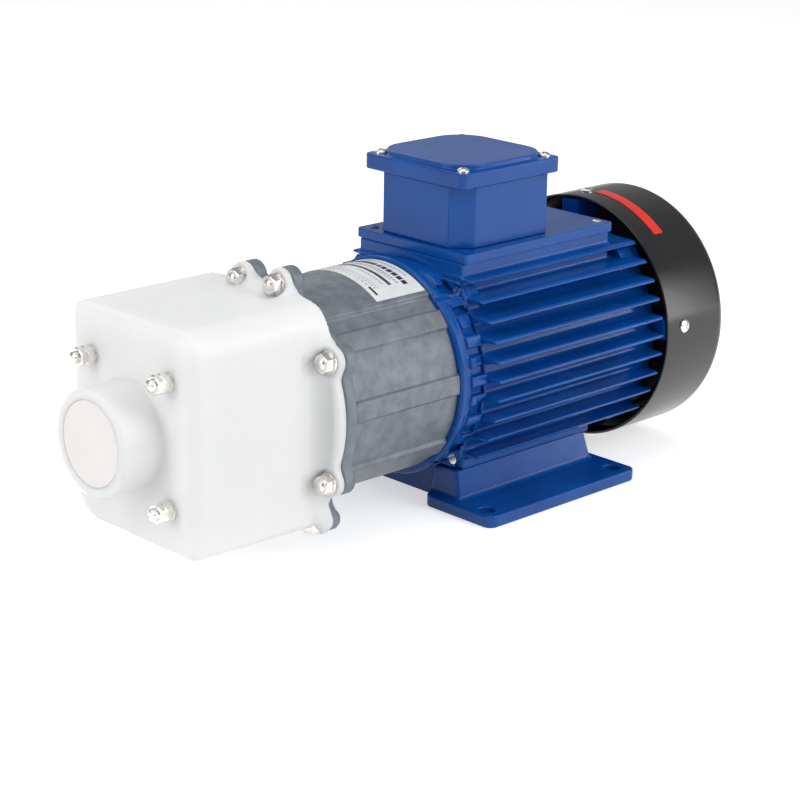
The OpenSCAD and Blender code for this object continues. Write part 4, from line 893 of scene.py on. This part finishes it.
def stud_recipe(slotted):
    """A stud with a domed end, slotted or not; it stands on its inner end."""
    recipe = Recipe("slotted_stud" if slotted else "domed_stud",
                    {"Radius": 0.003, "Length": 0.02, "Dome": 0.001, "Slot width": 0.0009})
    radius, length, dome = recipe.size("Radius"), recipe.size("Length"), recipe.size("Dome")
    neck = recipe.math("SUBTRACT", length, dome)
    ball = recipe.add("GeometryNodeMeshUVSphere", None, Segments=40, Rings=16, Radius=radius)
    share = recipe.math("DIVIDE", dome, radius)
    cap = recipe.moved(ball, recipe.vector(0.0, 0.0, neck), recipe.vector(0.999, 0.999, share))
    shape = recipe.solid("UNION", recipe.drum(radius, 0.0, neck), cap)
    if slotted:
        size = recipe.vector(recipe.size("Slot width"), recipe.math("MULTIPLY", radius, 3.0),
                             recipe.math("MULTIPLY", dome, 2.4))
        cube = recipe.add("GeometryNodeMeshCube", None, Size=size)
        slot = recipe.moved(cube, recipe.vector(0.0, 0.0, length), turn=(0, 0, 0.6))
        shape = recipe.solid("DIFFERENCE", shape, slot)
    recipe.spread(shape, FINISHES["stainless"])
    return recipe


def washer_recipe():
    recipe = Recipe("washer", {"Radius": 0.006, "Bore": 0.003, "Thickness": 0.0012})
    radius, thick = recipe.size("Radius"), recipe.size("Thickness")
    disc = recipe.drum(radius, 0.0, thick, 56)
    rim = recipe.add("GeometryNodeMeshCone", None, Vertices=56, Depth=thick,
                     Radius_Top=recipe.math("MULTIPLY", radius, 0.965), Radius_Bottom=recipe.math(
                         "ADD", recipe.math("MULTIPLY", radius, 0.965), recipe.math("MULTIPLY", thick, 0.8)))
    disc = recipe.solid("INTERSECT", disc, rim)
    bore = recipe.drum(recipe.size("Bore"), recipe.math("MULTIPLY", thick, -1.0),
                       recipe.math("MULTIPLY", thick, 2.0))
    recipe.spread(recipe.solid("DIFFERENCE", disc, bore), FINISHES["stainless"])
    return recipe


def cross_screw_recipe(name, paint):
    """A pan head screw with a cross recess; its head stands on its place and its shank goes down."""
    recipe = Recipe(name, {"Head radius": 0.004, "Head height": 0.002, "Shank radius": 0.002,
                           "Shank length": 0.01})
    head, high = recipe.size("Head radius"), recipe.size("Head height")
    ball = recipe.add("GeometryNodeMeshUVSphere", None, Segments=40, Rings=16, Radius=head)
    dome = recipe.moved(ball, scale=recipe.vector(1.06, 1.06, recipe.math("DIVIDE", high, head)))
    pan = recipe.solid("INTERSECT", dome, recipe.drum(head, 0.0, high))
    slot = recipe.vector(recipe.math("MULTIPLY", head, 1.15), recipe.math("MULTIPLY", head, 0.26),
                         recipe.math("MULTIPLY", high, 1.1))
    cube = recipe.add("GeometryNodeMeshCube", None, Size=slot)
    lift = recipe.vector(0.0, 0.0, high)
    cross = recipe.solid("UNION", recipe.moved(cube, lift, turn=(0, 0, 0.4)),
                         recipe.moved(cube, lift, turn=(0, 0, 0.4 + math.pi / 2)))
    pan = recipe.solid("DIFFERENCE", pan, cross)
    shank = recipe.drum(recipe.size("Shank radius"),
                        recipe.math("MULTIPLY", recipe.size("Shank length"), -1.0),
                        recipe.math("MULTIPLY", high, 0.2), 24)
    join = recipe.tree.nodes.new("GeometryNodeJoinGeometry")
    recipe.tree.links.new(pan, join.inputs[0])
    recipe.tree.links.new(shank, join.inputs[0])
    recipe.spread(join.outputs[0], paint)
    return recipe


def fasteners():
    nut, washer = hex_nut_recipe(), washer_recipe()
    slotted, domed = stud_recipe(True), stud_recipe(False)
    silver = cross_screw_recipe("silver_cross_screw", FINISHES["stainless"])
    forward = (-1, 0, 0)
    front = HEAD_X0 - 1.2
    grown(nut, "front_hex_nuts", {"Across flats": 10, "Height": 4.98},
          [(front, y, z) for y, z in FRONT_STUDS],
          forward, "body", "stainless", "front_nuts")
    grown(nut, "front_lock_nuts", {"Across flats": 10, "Height": 3.6},
          [(front - 5, y, z) for y, z in FRONT_STUDS], forward, "body", "stainless")
    grown(washer, "front_plain_washers", {"Radius": 5.2, "Bore": 3.05, "Thickness": 1.18},
          [(HEAD_X0 - 0.01, y, z) for y, z in FRONT_STUDS], forward, "body", "stainless", "front_washers")
    grown(slotted, "front_slotted_studs", {"Radius": 3.5, "Length": 67.3, "Dome": 1.8, "Slot width": 1.1},
          [(-198, y, z) for y, z in FRONT_STUDS], forward, "body", "stainless", "front_studs")
    seat = HEAD_X1 - 5
    grown(nut, "flange_hex_nuts", {"Across flats": 10, "Height": 4.98},
          [(seat - 1.2, y, z) for y, z in FLANGE_STUDS], forward, "body", "stainless", "flange_nuts")
    grown(washer, "flange_plain_washers", {"Radius": 6.2, "Bore": 3.05, "Thickness": 1.18},
          [(seat - 0.01, y, z) for y, z in FLANGE_STUDS], forward, "body", "stainless", "flange_washers")
    grown(domed, "flange_domed_studs", {"Radius": 3.4, "Length": 21.2, "Dome": 2, "Slot width": 1},
          [(-149.5, y, z) for y, z in FLANGE_STUDS], forward, "body", "stainless", "flange_studs")
    grown(silver, "lid_cross_screws", {"Head radius": 3.6, "Head height": 2.4, "Shank radius": 2,
                                       "Shank length": 8.8},
          [(x, y, 115.6) for x, y in LID_SCREWS], (0, 0, 1), "body", "stainless", "lid_screws")
    painted = cross_screw_recipe("painted_cross_screw", FINISHES["motor_blue"])
    low_head = {"Head radius": 2.6, "Head height": 1, "Shank radius": 2, "Shank length": 14}
    grown(painted, "painted_base_screws", low_head, [(-43, y, 70.7) for y in (-37, 37)], (0, 0, 1), "body",
          "motor_blue", "terminal_base_screws")
    grown(silver, "bare_base_screws", low_head, [(69, y, 70.7) for y in (-37, 37)], (0, 0, 1), "body",
          "stainless", "terminal_base_screws")
    turns = [math.radians(-5 + 90 * i) for i in range(4)]
    grown(silver, "cover_cross_screws", {"Head radius": 4, "Head height": 1.8, "Shank radius": 2,
                                         "Shank length": 9},
          [(109.3, 76 * math.sin(-a), 76 * math.cos(a)) for a in turns],
          lambda x, y, z: (0, y / 76, z / 76), "body", "stainless", "cover_screws")


def grille():
    """The fan cover's rings and ribs."""
    recipe = Recipe("grille", {"First ring": 0.0185, "Ring step": 0.008, "Ring width": 0.00304,
                               "Sheet": 0.0016, "Rib width": 0.004, "Reach": 0.0602, "Hub": 0.0122})
    size = recipe.size
    line = recipe.add("GeometryNodeMeshLine", None, Count=6, Offset=(0, 0, 0))
    index = recipe.add("GeometryNodeInputIndex")
    radius = recipe.math("ADD", size("First ring"), recipe.math("MULTIPLY", index, size("Ring step")))
    circle = recipe.add("GeometryNodeCurvePrimitiveCircle", None, Resolution=128, Radius=1.0)
    rings = recipe.add("GeometryNodeInstanceOnPoints", None, Points=line, Instance=circle,
                       Scale=recipe.vector(radius, radius, 1.0))
    rings = recipe.add("GeometryNodeRealizeInstances", None, Geometry=rings)
    section = recipe.add("GeometryNodeCurvePrimitiveQuadrilateral", None, Width=size("Ring width"),
                         Height=size("Sheet"))
    rings = recipe.add("GeometryNodeCurveToMesh", None, Curve=rings, Profile_Curve=section)
    long_way = recipe.math("MULTIPLY", size("Reach"), 2.0)
    ribs = [recipe.add("GeometryNodeMeshCube", None, Size=recipe.vector(*order)) for order in
            ((long_way, size("Rib width"), size("Sheet")), (size("Rib width"), long_way, size("Sheet")))]
    hub = recipe.drum(size("Hub"), recipe.math("MULTIPLY", size("Sheet"), -0.5),
                      recipe.math("MULTIPLY", size("Sheet"), 0.5), 64)
    join = recipe.tree.nodes.new("GeometryNodeJoinGeometry")
    for shape in (rings, *ribs, hub):
        recipe.tree.links.new(shape, join.inputs[0])
    recipe.spread(join.outputs[0], FINISHES["cover_black"])
    grown(recipe, "grille_of_fan_cover", {}, [(150.1, 0, 0)], (1, 0, 0), "body", "cover_black", "fan_cover")


cast_pieces()
terminal_pieces()
turned_pieces()
cooling_fan()
label()
fasteners()
grille()
